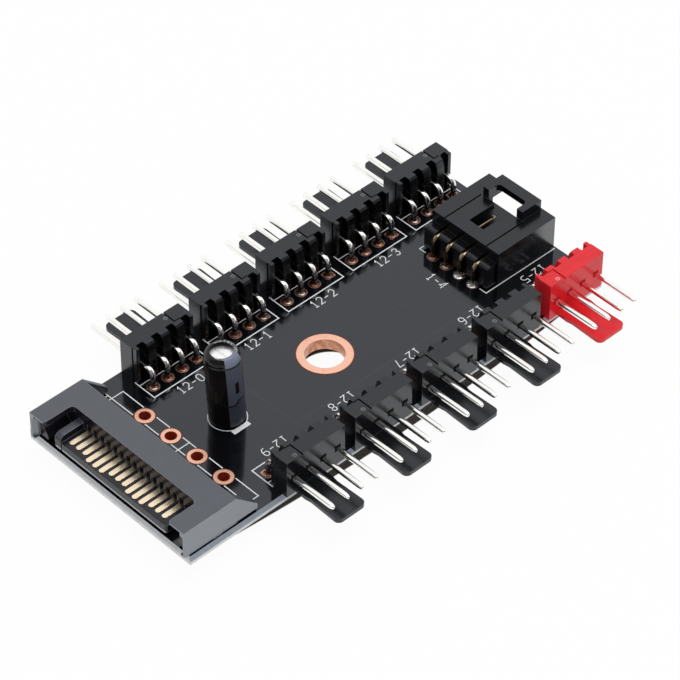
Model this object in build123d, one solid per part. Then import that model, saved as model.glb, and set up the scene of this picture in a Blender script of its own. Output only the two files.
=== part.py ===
from build123d import *
from math import cos, radians, sin
import os

# PC fan controller hub, in millimetres. Origin on the mounting hole's axis at the board's
# underside, X along the board from the drive power plug to the control header, Z up.

# circuit board
board_drive_end = -37.4
board_control_end = 37.6
board_near_edge = -15.0
board_far_edge = 16.0
board_thickness = 1.6
pin_hole_diameter = 1.0
lead_hole_diameter = 0.8
small_hole_sides = 8

# mounting hole with its copper ring
mounting_bore_diameter = 5.5
mounting_ring_diameter = 7.66
mounting_ring_wall = 0.25
plating_thickness = 0.06

# spare power holes
spare_hole_count = 4
spare_hole_pitch = 5.08
spare_hole_diameter = 1.6
spare_hole_sides = 16
spare_row_x = -25.04

# fan headers, two rows of five, with four pins each
header_count = 5
header_spacing = 12.0
far_row_start = -16.8
near_row_start = -16.6
pin_row_y = 11.0
pin_count = 4
pin_pitch = 2.54
header_width = 10.16
header_height = 6.0
header_reach = 4.85
header_wall = 2.3
header_depth = 3.1
end_finger_inset = 0.12
notch_width = 1.2
rib_overhang = 0.5
rib_crown_depth = 0.7
rib_crown_height = 2.3
rib_crown_steps = 3
pin_side = 0.64
pin_clearance = 0.02
pin_height = 2.75
pin_bend_radius = 1.0
pin_bend_steps = 2
pin_free_length = 7.35
pin_tip_length = 0.8
pin_tip_inset = 0.16
pin_tail = 1.0
key_plate_length = 7.95
key_plate_thickness = 0.62
key_plate_half_width = 2.5
key_plate_waist = 0.16
key_plate_offset = -0.12
key_plate_corner = 0.8
key_plate_lift = 0.02
pin_one_line = 2.7
line_width = 0.24
line_depth = 0.3

# drive power plug
plug_front = -38.2
plug_depth = 8.9
plug_half_width = 14.83
plug_height = 4.45
plug_standoff = 0.35
plug_top_wall = 0.85
plug_side_wall = 0.75
plug_window_depth = 4.9
plug_window_far = 12.0
plug_window_near = -11.8
plug_window_corner = 0.7
plug_skirt_gap = 0.15
roof_lead = 0.65
side_lead = 0.5
mouth_corner = 0.6
guide_width = 1.5
guide_height = 2.4
guide_step = 0.6
tongue_front = -37.3
tongue_near = -10.4
tongue_far = 9.95
tongue_bottom = 0.5
tongue_top = 1.72
tongue_chamfer = 0.25
key_rib_width = 1.1
key_rib_top = 2.75
key_rib_rounding = 0.9
ear_length = 3.5
ear_thickness = 0.8
ear_tip_height = 0.8
contact_count = 15
contact_pitch = 1.27
contact_width = 0.76
contact_thickness = 0.25
contact_seat = 0.13
contact_clearance = 0.02
contact_tip_x = -36.5
contact_long_extra = 0.55
long_contacts = (4, 5, 6, 10, 11, 12)
contact_nose = 0.22
contact_leg_x = -31.6
contact_leg_width = 0.5
contact_foot_length = 3.9
contact_foot_thickness = 0.2
contact_window_height = 1.3
contact_window_depth = 0.9
plug_foot_size = 1.4

# control input header
control_mouth = 37.15
control_rear = 26.12
control_half_width = 6.3
control_height = 5.7
control_standoff = 0.35
control_wall = 0.9
control_floor = 0.8
control_rear_wall = 2.4
control_slot_start = 28.25
control_slot_half = 1.36
control_notch_length = 3.95
control_notch_half = 3.1
strip_half_width = 3.95
frame_length = 3.7
frame_end_gap = 0.15
frame_half_width = 3.7
frame_arm_width = 1.05
frame_height = 1.55
frame_bar_width = 1.75
frame_bar_gap = 0.55
frame_corner = 0.6
comb_reach = 1.75
comb_height = 3.9
comb_slot = 0.66
comb_rounding = 0.7
comb_half_width = 6.0
control_pin_row_x = 24.0
control_pin_height = 3.3
control_pin_tip_x = 33.3
control_pin_side = 0.6
foot_size = 1.2

# capacitor, leaning a little as it was soldered
capacitor_x = -17.34
capacitor_y = 0.1
capacitor_radius = 2.5
capacitor_height = 11.0
capacitor_lift = 0.45
sleeve_wall = 0.12
sleeve_lip = 0.95
sleeve_rise = 0.55
sleeve_shoulder = 0.7
can_chamfer = 0.35
bung_radius = 1.75
bung_thickness = 1.2
bung_fit = 0.02
lead_diameter = 0.5
lead_pitch = 2.0
lead_tail = 1.0
lean_angle = 2.8
lean_axis = (-0.69, -0.72, 0)

# adhesive pad under the board
pad_thickness = 2.0
pad_drive_end = -29.5
pad_control_end = 33.5
pad_near_ends = -13.4
pad_near_middle = -14.9
pad_far_edge = 13.6
pad_hole_radius = 4.4
pad_hole_shift = 0.5
pad_corner = 1.5
dent_half_width = 1.3
dent_depth = 1.35
dent_margin = 1.2
liner_thickness = 0.12

pin_offsets = [pin_pitch * (i - (pin_count - 1) / 2) for i in range(pin_count)]
header_front = header_reach
header_rear = header_reach - header_depth
wall_rear = header_reach - header_wall
key_plate_x = pin_offsets[2] + key_plate_offset
control_notch_start = control_mouth - control_notch_length
frame_start = control_mouth - frame_end_gap - frame_length
plug_rear = plug_front + plug_depth
plug_wall_x = plug_front + plug_window_depth
contact_top = tongue_top - contact_seat + contact_thickness


def block(x0, x1, y0, y1, z0, z1):
    """A box given by its limits along each axis."""
    size = Box(x1 - x0, y1 - y0, z1 - z0)
    return Pos((x0 + x1) / 2, (y0 + y1) / 2, (z0 + z1) / 2) * size


def rod(x, y, z0, z1, radius):
    """A vertical cylinder between two heights."""
    return Pos(x, y, (z0 + z1) / 2) * Cylinder(radius, z1 - z0)


def tube(x, y, z0, z1, outer, inner):
    """A vertical ring between two heights."""
    return rod(x, y, z0, z1, outer) - rod(x, y, z0, z1, inner)


def side_profile(points, x0, x1):
    """A prism along X from a closed outline of (y, z) points."""
    outline = Polyline(*[(0, y, z) for y, z in points], close=True)
    return Pos(x0, 0, 0) * extrude(make_face(outline), amount=x1 - x0, dir=(1, 0, 0))


def header_places():
    """Each fan header's number with its centre and turn about Z, far row first."""
    far = [(k, far_row_start + header_spacing * k, pin_row_y, 0) for k in range(header_count)]
    near = []
    for k in range(header_count):
        number = 2 * header_count - 1 - k
        near.append((number, near_row_start + header_spacing * k, -pin_row_y, 180))
    return far + near


def on_board(x, y, turn, shape):
    """A shape moved from its own frame to the board's top face."""
    return Pos(x, y, board_thickness) * Rot(0, 0, turn) * shape


def spare_places():
    """Centres of the spare power holes."""
    first = -spare_hole_pitch * (spare_hole_count - 1) / 2
    return [(spare_row_x, first + spare_hole_pitch * i) for i in range(spare_hole_count)]


def contact_places():
    """Each drive contact's Y and tip X, from the near end to the far end."""
    places = []
    for number in range(1, contact_count + 1):
        y = contact_pitch * (number - (contact_count + 1) / 2)
        tip = contact_tip_x - (contact_long_extra if number in long_contacts else 0)
        places.append((y, tip))
    return places


def lead_places():
    """Offsets of the capacitor's two leads from its axis, along Y."""
    return [-lead_pitch / 2, lead_pitch / 2]


def leaning(shape):
    """A capacitor piece moved to its place on the board, with the soldered lean."""
    tilt = Location((0, 0, 0), lean_axis, lean_angle)
    return Pos(capacitor_x, capacitor_y, board_thickness) * tilt * shape


def drilled(x, y, diameter, sides):
    """A hole's volume through the board, as a prism around that diameter."""
    outline = RegularPolygon(diameter / 2, sides, major_radius=False)
    return Pos(x, y, 0) * extrude(outline, amount=board_thickness)


def circuit_board():
    """The bare board with every drilled hole."""
    board = block(board_drive_end, board_control_end, board_near_edge, board_far_edge,
                  0, board_thickness)
    plated = 2 * plating_thickness
    holes = [rod(0, 0, 0, board_thickness, mounting_bore_diameter / 2 + mounting_ring_wall)]
    holes += [drilled(x, y, spare_hole_diameter + plated, spare_hole_sides)
              for x, y in spare_places()]
    for _, x, y, turn in header_places():
        holes += [drilled(x + dx, y, pin_hole_diameter, small_hole_sides) for dx in pin_offsets]
    holes += [drilled(control_pin_row_x, y, pin_hole_diameter, small_hole_sides)
              for y in pin_offsets]
    holes += [drilled(capacitor_x, capacitor_y + dy, lead_hole_diameter, small_hole_sides)
              for dy in lead_places()]
    return board - holes


def spare_barrel(x, y):
    """The plated wall of one spare power hole."""
    outer = drilled(x, y, spare_hole_diameter + 2 * plating_thickness, spare_hole_sides)
    return outer - drilled(x, y, spare_hole_diameter, spare_hole_sides)


def mounting_ring():
    """The mounting hole's plated wall with a thin rim on both faces of the board."""
    bore = mounting_bore_diameter / 2
    rim = mounting_ring_diameter / 2
    wall = tube(0, 0, 0, board_thickness, bore + mounting_ring_wall, bore)
    top = tube(0, 0, board_thickness, board_thickness + plating_thickness, rim, bore)
    bottom = tube(0, 0, -plating_thickness, 0, rim, bore)
    return wall + top + bottom


def rib_outline():
    """Side outline of one fin between two pins, rounded where it meets the top."""
    foot = header_rear - rib_overhang
    crown = []
    for i in range(rib_crown_steps + 1):
        turn = radians(90 * i / rib_crown_steps)
        crown.append((foot + rib_crown_depth * (1 - cos(turn)),
                      header_height - rib_crown_height * (1 - sin(turn))))
    return [(wall_rear, 0), (foot, 0)] + crown + [(wall_rear, header_height)]


def key_plate():
    """The polarising plate under the pins, waisted near its root, with round tip corners."""
    w = key_plate_half_width
    root = w - key_plate_waist / 2
    y0 = header_front
    y1 = header_front + key_plate_length
    swell = y0 + key_plate_length * 0.22
    narrow = y0 + key_plate_length * 0.34
    right = [(root, y0), (w, swell), (w - key_plate_waist, narrow), (w, y1)]
    left = [(-x, y) for x, y in reversed(right)]
    face = make_face(Polyline(*(right + left), close=True))
    corners = face.vertices().sort_by(Axis.Y)[-2:]
    face = fillet(corners, key_plate_corner)
    return Pos(key_plate_x, 0, key_plate_lift) * extrude(face, amount=key_plate_thickness)


def fan_header_body():
    """One right-angle fan header in its own frame, pins pointing along +Y, pin 1 at +X."""
    half = header_width / 2
    body = block(-half, half, wall_rear, header_front, 0, header_height)
    comb_half = half - end_finger_inset
    comb = block(-comb_half, comb_half, header_rear, wall_rear, 0, header_height)
    slots = [block(x - notch_width / 2, x + notch_width / 2, header_rear, wall_rear,
                   0, header_height) for x in pin_offsets]
    body += comb - slots
    rib_width = pin_pitch - notch_width
    middles = [(a + b) / 2 for a, b in zip(pin_offsets, pin_offsets[1:])]
    for x in middles:
        body += side_profile(rib_outline(), x - rib_width / 2, x + rib_width / 2)
    body += key_plate()
    line_x = half - pin_one_line
    body -= block(line_x - line_width / 2, line_x + line_width / 2, wall_rear, header_front,
                  header_height - line_depth, header_height)
    hole = pin_side / 2 + pin_clearance
    body -= [block(x - hole, x + hole, wall_rear, header_front,
                   pin_height - hole, pin_height + hole) for x in pin_offsets]
    return body


def bend_points(radius, height):
    """Points of a quarter bend from level to upright, about the pin's own bend centre."""
    points = []
    for i in range(pin_bend_steps + 1):
        turn = radians(90 * i / pin_bend_steps)
        points.append((pin_bend_radius - radius * sin(turn),
                       height - pin_bend_radius + radius * cos(turn)))
    return points


def bent_pin(side, reach, height):
    """A square pin that runs along +Y and bends down at Y = 0, with a tapered free tip."""
    half = side / 2
    tip = half - pin_tip_inset
    shoulder = reach - pin_tip_length
    bottom = -board_thickness - pin_tail
    outer = bend_points(pin_bend_radius + half, height)
    inner = bend_points(pin_bend_radius - half, height)
    side_view = [(reach, height + tip), (shoulder, height + half)] + outer
    side_view += [(-half, bottom), (half, bottom)] + inner[::-1]
    side_view += [(shoulder, height - half), (reach, height - tip)]
    top_view = Polyline((-half, -half), (-half, shoulder), (-tip, reach), (tip, reach),
                        (half, shoulder), (half, -half), close=True)
    plan = Pos(0, 0, bottom) * extrude(make_face(top_view), amount=height + half - bottom)
    return side_profile(side_view, -half, half) & plan


def fan_pins():
    """The four bent pins of one fan header."""
    pin = bent_pin(pin_side, header_front + pin_free_length, pin_height)
    return [Pos(x, 0, 0) * pin for x in pin_offsets]


def power_plug_tongue():
    """The contact tongue with the upright key rib at its far end."""
    tongue = block(tongue_front, plug_wall_x, tongue_near, tongue_far, tongue_bottom, tongue_top)
    nose = tongue.edges().filter_by(Axis.Z).sort_by(Axis.X)[:2]
    tongue = chamfer(nose, tongue_chamfer)
    rib = block(tongue_front, plug_wall_x, tongue_far, tongue_far + key_rib_width,
                tongue_bottom, key_rib_top)
    crown = rib.edges().filter_by(Axis.Y).sort_by(Axis.X)[:2].sort_by(Axis.Z)[-1:]
    rib = fillet(crown, key_rib_rounding)
    return tongue + rib


def power_plug_ear(side):
    """The tapered gusset behind one end of the shell; side is 1 for far, -1 for near."""
    outline = Polyline((plug_rear, 0, plug_standoff), (plug_rear + ear_length, 0, plug_standoff),
                       (plug_rear + ear_length, 0, plug_standoff + ear_tip_height),
                       (plug_rear, 0, plug_height), close=True)
    ear = extrude(make_face(outline), amount=ear_thickness, dir=(0, -side, 0))
    return Pos(0, side * plug_half_width, 0) * ear


def mouth_lead_in(roof, inner):
    """The bevels inside the shell's mouth, as the volume they take away."""
    top = Polyline((plug_front, -inner, roof), (plug_front, -inner, roof + roof_lead),
                   (plug_front + roof_lead, -inner, roof), close=True)
    lead = extrude(make_face(top), amount=2 * inner, dir=(0, 1, 0))
    for side in (1, -1):
        y = side * inner
        wall = Polyline((plug_front, y, plug_standoff),
                        (plug_front, y + side * side_lead, plug_standoff),
                        (plug_front + 2 * side_lead, y, plug_standoff), close=True)
        lead += extrude(make_face(wall), amount=roof - plug_standoff, dir=(0, 0, 1))
    return lead


def mouth_rounding(y, side, roof):
    """What rounds one corner of the roof's window at the mouth; side points away from it."""
    low, high = sorted((y, y + side * mouth_corner))
    corner = block(plug_front, plug_front + mouth_corner, low, high, roof, plug_height)
    return corner - rod(plug_front + mouth_corner, y + side * mouth_corner, roof, plug_height,
                        mouth_corner)


def corner_guide(side, inner):
    """The sloped guide along the foot of one side wall, inside the mouth."""
    wall = side * inner
    outline = [(wall, plug_standoff), (wall, plug_standoff + guide_height),
               (wall - side * guide_width / 2, plug_standoff + 2 * guide_height / 3),
               (wall - side * guide_width, plug_standoff + guide_step),
               (wall - side * guide_width, plug_standoff)]
    return side_profile(outline, plug_front + 2 * side_lead, plug_wall_x)


def power_plug_shell():
    """The drive power plug's moulded shell, in the board top's height."""
    w = plug_half_width
    shell = block(plug_front, plug_rear, -w, w, plug_standoff, plug_height)
    roof = plug_height - plug_top_wall
    inner = w - plug_side_wall
    shell -= block(plug_front, plug_wall_x, -inner, inner, plug_standoff, roof)
    shell -= mouth_lead_in(roof, inner)
    window = Pos((plug_front + plug_wall_x) / 2, (plug_window_far + plug_window_near) / 2,
                 roof) * Box(plug_window_depth, plug_window_far - plug_window_near,
                             2 * plug_top_wall)
    inside = window.edges().filter_by(Axis.Z).sort_by(Axis.X)[-2:]
    shell -= fillet(inside, plug_window_corner)
    shell -= mouth_rounding(plug_window_far, 1, roof)
    shell -= mouth_rounding(plug_window_near, -1, roof)
    for side in (1, -1):
        low, high = sorted((side * inner, side * w))
        shell += corner_guide(side, inner)
        shell += block(plug_front, plug_rear, low, high, plug_skirt_gap, plug_standoff)
    shell += power_plug_tongue()
    shell += power_plug_ear(1)
    shell += power_plug_ear(-1)
    channel = contact_width / 2 + contact_clearance
    seat = tongue_top - contact_seat
    rear = contact_leg_x + contact_thickness + contact_clearance
    slot = contact_leg_width / 2 + contact_clearance
    for y, tip in contact_places():
        shell -= block(tip - contact_clearance, rear, y - channel, y + channel,
                       seat, contact_top + contact_clearance)
        shell -= block(plug_wall_x, plug_wall_x + contact_window_depth, y - channel, y + channel,
                       seat, seat + contact_window_height)
        shell -= block(contact_leg_x - contact_clearance, rear, y - slot, y + slot,
                       plug_standoff, contact_top)
    for y in (-w, w - plug_foot_size):
        shell += block(plug_wall_x, plug_wall_x + plug_foot_size, y, y + plug_foot_size,
                       0, plug_standoff)
    return shell


def power_contact(y, tip):
    """One drive contact: a flat blade, bent down to a foot that is soldered behind the shell."""
    w = contact_width / 2
    leg = contact_leg_width / 2
    seat = tongue_top - contact_seat
    rear = contact_leg_x + contact_thickness
    blade = block(tip, rear, y - w, y + w, seat, contact_top)
    nose = blade.edges().filter_by(Axis.Z).sort_by(Axis.X)[:2]
    contact = chamfer(nose, contact_nose)
    contact += block(contact_leg_x, rear, y - leg, y + leg, 0, seat)
    contact += block(contact_leg_x, contact_leg_x + contact_foot_length, y - leg, y + leg,
                     0, contact_foot_thickness)
    return contact


def control_comb():
    """The fins behind the control header, one on each side of every pin."""
    fins = block(control_rear - comb_reach, control_rear, -comb_half_width, comb_half_width,
                 control_standoff, comb_height)
    crown = fins.edges().filter_by(Axis.Y).sort_by(Axis.X)[:2].sort_by(Axis.Z)[-1:]
    fins = fillet(crown, comb_rounding)
    gap = comb_slot / 2
    return fins - [block(control_rear - comb_reach, control_rear, y - gap, y + gap,
                         control_standoff, comb_height) for y in pin_offsets]


def latch_frame():
    """The raised frame over the mouth that the mating plug's latch hooks under."""
    front = control_mouth - frame_end_gap
    outer = block(frame_start, front, -frame_half_width, frame_half_width,
                  control_height, control_height + frame_height)
    arm = frame_half_width - frame_arm_width
    bar = front - frame_bar_width
    hollow = block(frame_start - frame_corner, bar, -arm, arm, control_height,
                   control_height + frame_height)
    inner = hollow.edges().filter_by(Axis.Z).sort_by(Axis.X)[-2:]
    frame = outer - fillet(inner, frame_corner)
    frame -= block(bar - frame_corner, front, -arm, arm, control_height,
                   control_height + frame_bar_gap)
    return frame


def control_header():
    """The shrouded control input header, mouth towards +X, in the board top's height."""
    w = control_half_width
    top = control_height
    body = block(control_rear, control_mouth, -w, w, control_standoff, top)
    cavity_rear = control_rear + control_rear_wall
    body -= block(cavity_rear, control_mouth, -w + control_wall, w - control_wall,
                  control_standoff + control_floor, top - control_wall)
    body -= block(control_slot_start, control_notch_start, -control_slot_half,
                  control_slot_half, control_standoff + control_floor, top)
    body -= block(control_notch_start, control_mouth, -control_notch_half,
                  control_notch_half, top - control_wall, top)
    for y in (-strip_half_width, strip_half_width):
        body -= block(control_rear, control_notch_start, y - line_width / 2,
                      y + line_width / 2, top - line_depth, top)
    body += control_comb()
    body += latch_frame()
    hole = control_pin_side / 2 + pin_clearance
    body -= [block(control_rear, cavity_rear, y - hole, y + hole, control_pin_height - hole,
                   control_pin_height + hole) for y in pin_offsets]
    for x in (control_rear + foot_size, control_mouth - foot_size):
        for y in (-w + foot_size, w - foot_size):
            body += block(x - foot_size / 2, x + foot_size / 2, y - foot_size / 2,
                          y + foot_size / 2, 0, control_standoff)
    return body


def control_pin(y):
    """One control pin, bent down through the board behind the header."""
    reach = control_pin_tip_x - control_pin_row_x
    pin = bent_pin(control_pin_side, reach, control_pin_height)
    return Pos(control_pin_row_x, y, 0) * Rot(0, 0, -90) * pin


def capacitor_drum(z0, z1, radius, bevel):
    """A cylinder with its upper rim bevelled."""
    drum = rod(0, 0, z0, z1, radius)
    rim = drum.edges().filter_by(GeomType.CIRCLE).sort_by(Axis.Z)[-1:]
    return chamfer(rim, bevel)


def capacitor_can():
    """The sealed aluminium can, with the recess that the rubber bung fills."""
    end = capacitor_lift + capacitor_height - sleeve_wall
    can = capacitor_drum(capacitor_lift, end, capacitor_radius - sleeve_wall, can_chamfer)
    return can - rod(0, 0, capacitor_lift, capacitor_lift + bung_thickness, bung_radius)


def capacitor_sleeve():
    """The shrunk sleeve around the can, turned over its upper end as a raised lip."""
    top = capacitor_lift + capacitor_height + sleeve_rise
    can_top = capacitor_lift + capacitor_height - sleeve_wall
    outer = capacitor_drum(capacitor_lift, top, capacitor_radius, sleeve_shoulder)
    hollow = capacitor_drum(capacitor_lift, can_top, capacitor_radius - sleeve_wall, can_chamfer)
    mouth = rod(0, 0, can_top, top, capacitor_radius - sleeve_lip)
    return outer - hollow - mouth


def capacitor_bung():
    """The rubber bung that seals the can's open end around the leads."""
    start = capacitor_lift
    bung = rod(0, 0, start, start + bung_thickness - bung_fit, bung_radius - bung_fit)
    hole = lead_diameter / 2 + bung_fit
    return bung - [rod(0, y, start, start + bung_thickness, hole) for y in lead_places()]


def capacitor_leads():
    """The two leads, from inside the bung to below the board."""
    top = capacitor_lift + bung_thickness - bung_fit
    return [rod(0, y, -board_thickness - lead_tail, top, lead_diameter / 2)
            for y in lead_places()]


def pad_outline(thickness, z0):
    """The hand-cut pad's outline, bowed along the near edge, with its hole."""
    middle = (pad_drive_end + pad_control_end) / 2
    edges = [
        ThreePointArc((pad_drive_end, pad_near_ends), (middle, pad_near_middle),
                      (pad_control_end, pad_near_ends)),
        Line((pad_control_end, pad_near_ends), (pad_control_end, pad_far_edge)),
        Line((pad_control_end, pad_far_edge), (pad_drive_end, pad_far_edge)),
        Line((pad_drive_end, pad_far_edge), (pad_drive_end, pad_near_ends)),
    ]
    face = make_face(edges)
    face = fillet(face.vertices(), pad_corner)
    slab = Pos(0, 0, z0) * extrude(face, amount=thickness)
    return slab - rod(pad_hole_shift, -pad_hole_shift, z0, z0 + thickness, pad_hole_radius)


def adhesive_pad():
    """The foam pad, dented where pin and lead tails press into it."""
    underside = -plating_thickness
    pad = pad_outline(pad_thickness, underside - pad_thickness)
    dent_floor = underside - dent_depth
    span = header_spacing * (header_count - 1) + header_width / 2
    for start, y in ((far_row_start, pin_row_y), (near_row_start, -pin_row_y)):
        pad -= block(start - header_width / 2, start + span, y - dent_half_width,
                     y + dent_half_width, dent_floor, underside)
    reach = pin_offsets[-1] + dent_margin
    pad -= block(control_pin_row_x - dent_half_width, control_pin_row_x + dent_half_width,
                 -reach, reach, dent_floor, underside)
    lead_reach = lead_pitch / 2 + dent_margin
    pad -= block(capacitor_x - dent_half_width, capacitor_x + dent_half_width,
                 capacitor_y - lead_reach, capacitor_y + lead_reach,
                 dent_floor, underside)
    return pad


def release_liner():
    """The paper liner that covers the pad's lower adhesive face."""
    return pad_outline(liner_thickness, -plating_thickness - pad_thickness - liner_thickness)


def save(name, shape):
    """Write one node's STEP file."""
    pieces = shape if isinstance(shape, list) else [shape]
    solids = [solid for piece in pieces for solid in piece.solids()]
    result = solids[0] if len(solids) == 1 else Compound(children=solids)
    export_step(result, f"parts/{name}.step")


os.makedirs("parts", exist_ok=True)
save("circuit_board", circuit_board())
save("mounting_hole_ring", mounting_ring())
save("spare_power_eyelets", [spare_barrel(x, y) for x, y in spare_places()])
header_body = fan_header_body()
header_pins = fan_pins()
for number, x, y, turn in header_places():
    save(f"fan_header_{number}", on_board(x, y, turn, header_body))
    save(f"fan_pins_{number}", [on_board(x, y, turn, pin) for pin in header_pins])
save("power_plug_shell", on_board(0, 0, 0, power_plug_shell()))
for i, place in enumerate(contact_places(), start=1):
    save(f"power_contact_{i:02d}", on_board(0, 0, 0, power_contact(*place)))
save("control_header", on_board(0, 0, 0, control_header()))
for i, y in enumerate(pin_offsets, start=1):
    save(f"control_pin_{i}", on_board(0, 0, 0, control_pin(y)))
save("capacitor_can", leaning(capacitor_can()))
save("capacitor_sleeve", leaning(capacitor_sleeve()))
save("capacitor_bung", leaning(capacitor_bung()))
save("capacitor_leads", [leaning(lead) for lead in capacitor_leads()])
save("adhesive_pad", adhesive_pad())
save("release_liner", release_liner())
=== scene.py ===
"""Looks of the PC fan controller hub: finishes, printed lines, solder, pins and a plain studio.

Sizes are in millimetres unless they say otherwise. X runs from the drive plug to the control
header, Y across the board to the far row of headers, Z up from the board's lower face.
"""

import logging
import random
from dataclasses import dataclass
from enum import Enum
from math import cos, hypot, pi, radians, sin
from typing import Callable, Iterable, Mapping, Sequence, Union

import bmesh
import bpy
from mathutils import Matrix, Vector


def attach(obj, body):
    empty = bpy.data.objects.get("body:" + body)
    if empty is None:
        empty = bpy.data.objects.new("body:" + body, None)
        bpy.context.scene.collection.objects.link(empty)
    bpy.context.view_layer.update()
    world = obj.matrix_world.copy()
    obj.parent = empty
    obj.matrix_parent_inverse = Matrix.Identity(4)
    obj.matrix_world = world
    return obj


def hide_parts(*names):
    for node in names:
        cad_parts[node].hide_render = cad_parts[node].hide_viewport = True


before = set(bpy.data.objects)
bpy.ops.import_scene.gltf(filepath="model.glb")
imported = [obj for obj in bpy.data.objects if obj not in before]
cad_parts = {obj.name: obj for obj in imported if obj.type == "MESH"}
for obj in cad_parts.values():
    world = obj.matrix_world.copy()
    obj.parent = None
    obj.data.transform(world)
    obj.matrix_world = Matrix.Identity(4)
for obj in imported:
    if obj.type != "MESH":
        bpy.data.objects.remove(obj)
log = logging.getLogger("hub")

Colour = tuple[float, float, float]
Point = tuple[float, float]
Place = tuple[float, float, float]
Value = Union["Signal", float, Sequence[float]]

MM = 0.001
ROOT = "root"
BOARD_TOP = 1.6
CAPACITOR_FOOT = (-17.34, 0.1, BOARD_TOP)
WHITE = (1.0, 1.0, 1.0)
# Painted reflection colour: a cool tint given to the sheen of the black plastics and the solder
# mask.
COOL = (0.86, 0.91, 1.0)
FILLET_STEPS = 7
FILLET_SEGMENTS = 24
LAND_SEGMENTS = 40
SQUARE_SEGMENTS = 32
SOFT_ANGLE = 60.0
CRISP_ANGLE = 50.0


class Row(Enum):
    """The two rows of fan headers, with the way each faces along Y."""

    FAR = 1
    NEAR = -1


class Slot(Enum):
    """The record's material slots."""

    COPPER = "copper"
    MASK = "solder_mask"
    PIN = "tinned_pin"
    GOLD = "gold_contact"
    SLEEVE = "capacitor_sleeve"
    CAN = "capacitor_can"
    BLACK = "header_black"
    RED = "header_red"


class Signal:
    """One node socket that can be used in arithmetic."""

    def __init__(self, graph: "Graph", socket: bpy.types.NodeSocket) -> None:
        """Keep the socket and the graph it belongs to."""
        self.graph = graph
        self.socket = socket

    def output(self, name: str) -> "Signal":
        """Another output of the same node."""
        return Signal(self.graph, self.socket.node.outputs[name])

    def _math(self, operation: str, *values: Value) -> "Signal":
        """A Math node on these values."""
        return self.graph.node("ShaderNodeMath", {"operation": operation}, dict(enumerate(values)))

    def __add__(self, other: Value) -> "Signal":
        """This value plus another."""
        return self._math("ADD", self, other)

    def __radd__(self, other: Value) -> "Signal":
        """Another value plus this."""
        return self._math("ADD", other, self)

    def __sub__(self, other: Value) -> "Signal":
        """This value less another."""
        return self._math("SUBTRACT", self, other)

    def __rsub__(self, other: Value) -> "Signal":
        """Another value less this."""
        return self._math("SUBTRACT", other, self)

    def __mul__(self, other: Value) -> "Signal":
        """This value times another."""
        return self._math("MULTIPLY", self, other)

    def __rmul__(self, other: Value) -> "Signal":
        """Another value times this."""
        return self._math("MULTIPLY", other, self)

    def __gt__(self, other: Value) -> "Signal":
        """One where this value is the larger, else zero."""
        return self._math("GREATER_THAN", self, other)

    def __lt__(self, other: Value) -> "Signal":
        """One where this value is the smaller, else zero."""
        return self._math("LESS_THAN", self, other)

    def __abs__(self) -> "Signal":
        """This value without its sign."""
        return self._math("ABSOLUTE", self)

    def most(self, other: Value) -> "Signal":
        """The larger of two values."""
        return self._math("MAXIMUM", self, other)

    def ramp(self, low: float, high: float, start: float = 0.0, end: float = 1.0) -> "Signal":
        """Map a range of this value onto another range, smoothly and clamped.

        Args:
            low: Value that maps to start.
            high: Value that maps to end.
            start: Result at low and before it.
            end: Result at high and past it.

        Returns:
            The mapped value.
        """
        settings = {"clamp": True, "interpolation_type": "SMOOTHSTEP"}
        return self.graph.node("ShaderNodeMapRange", settings,
                               {0: self, 1: low, 2: high, 3: start, 4: end})


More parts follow.
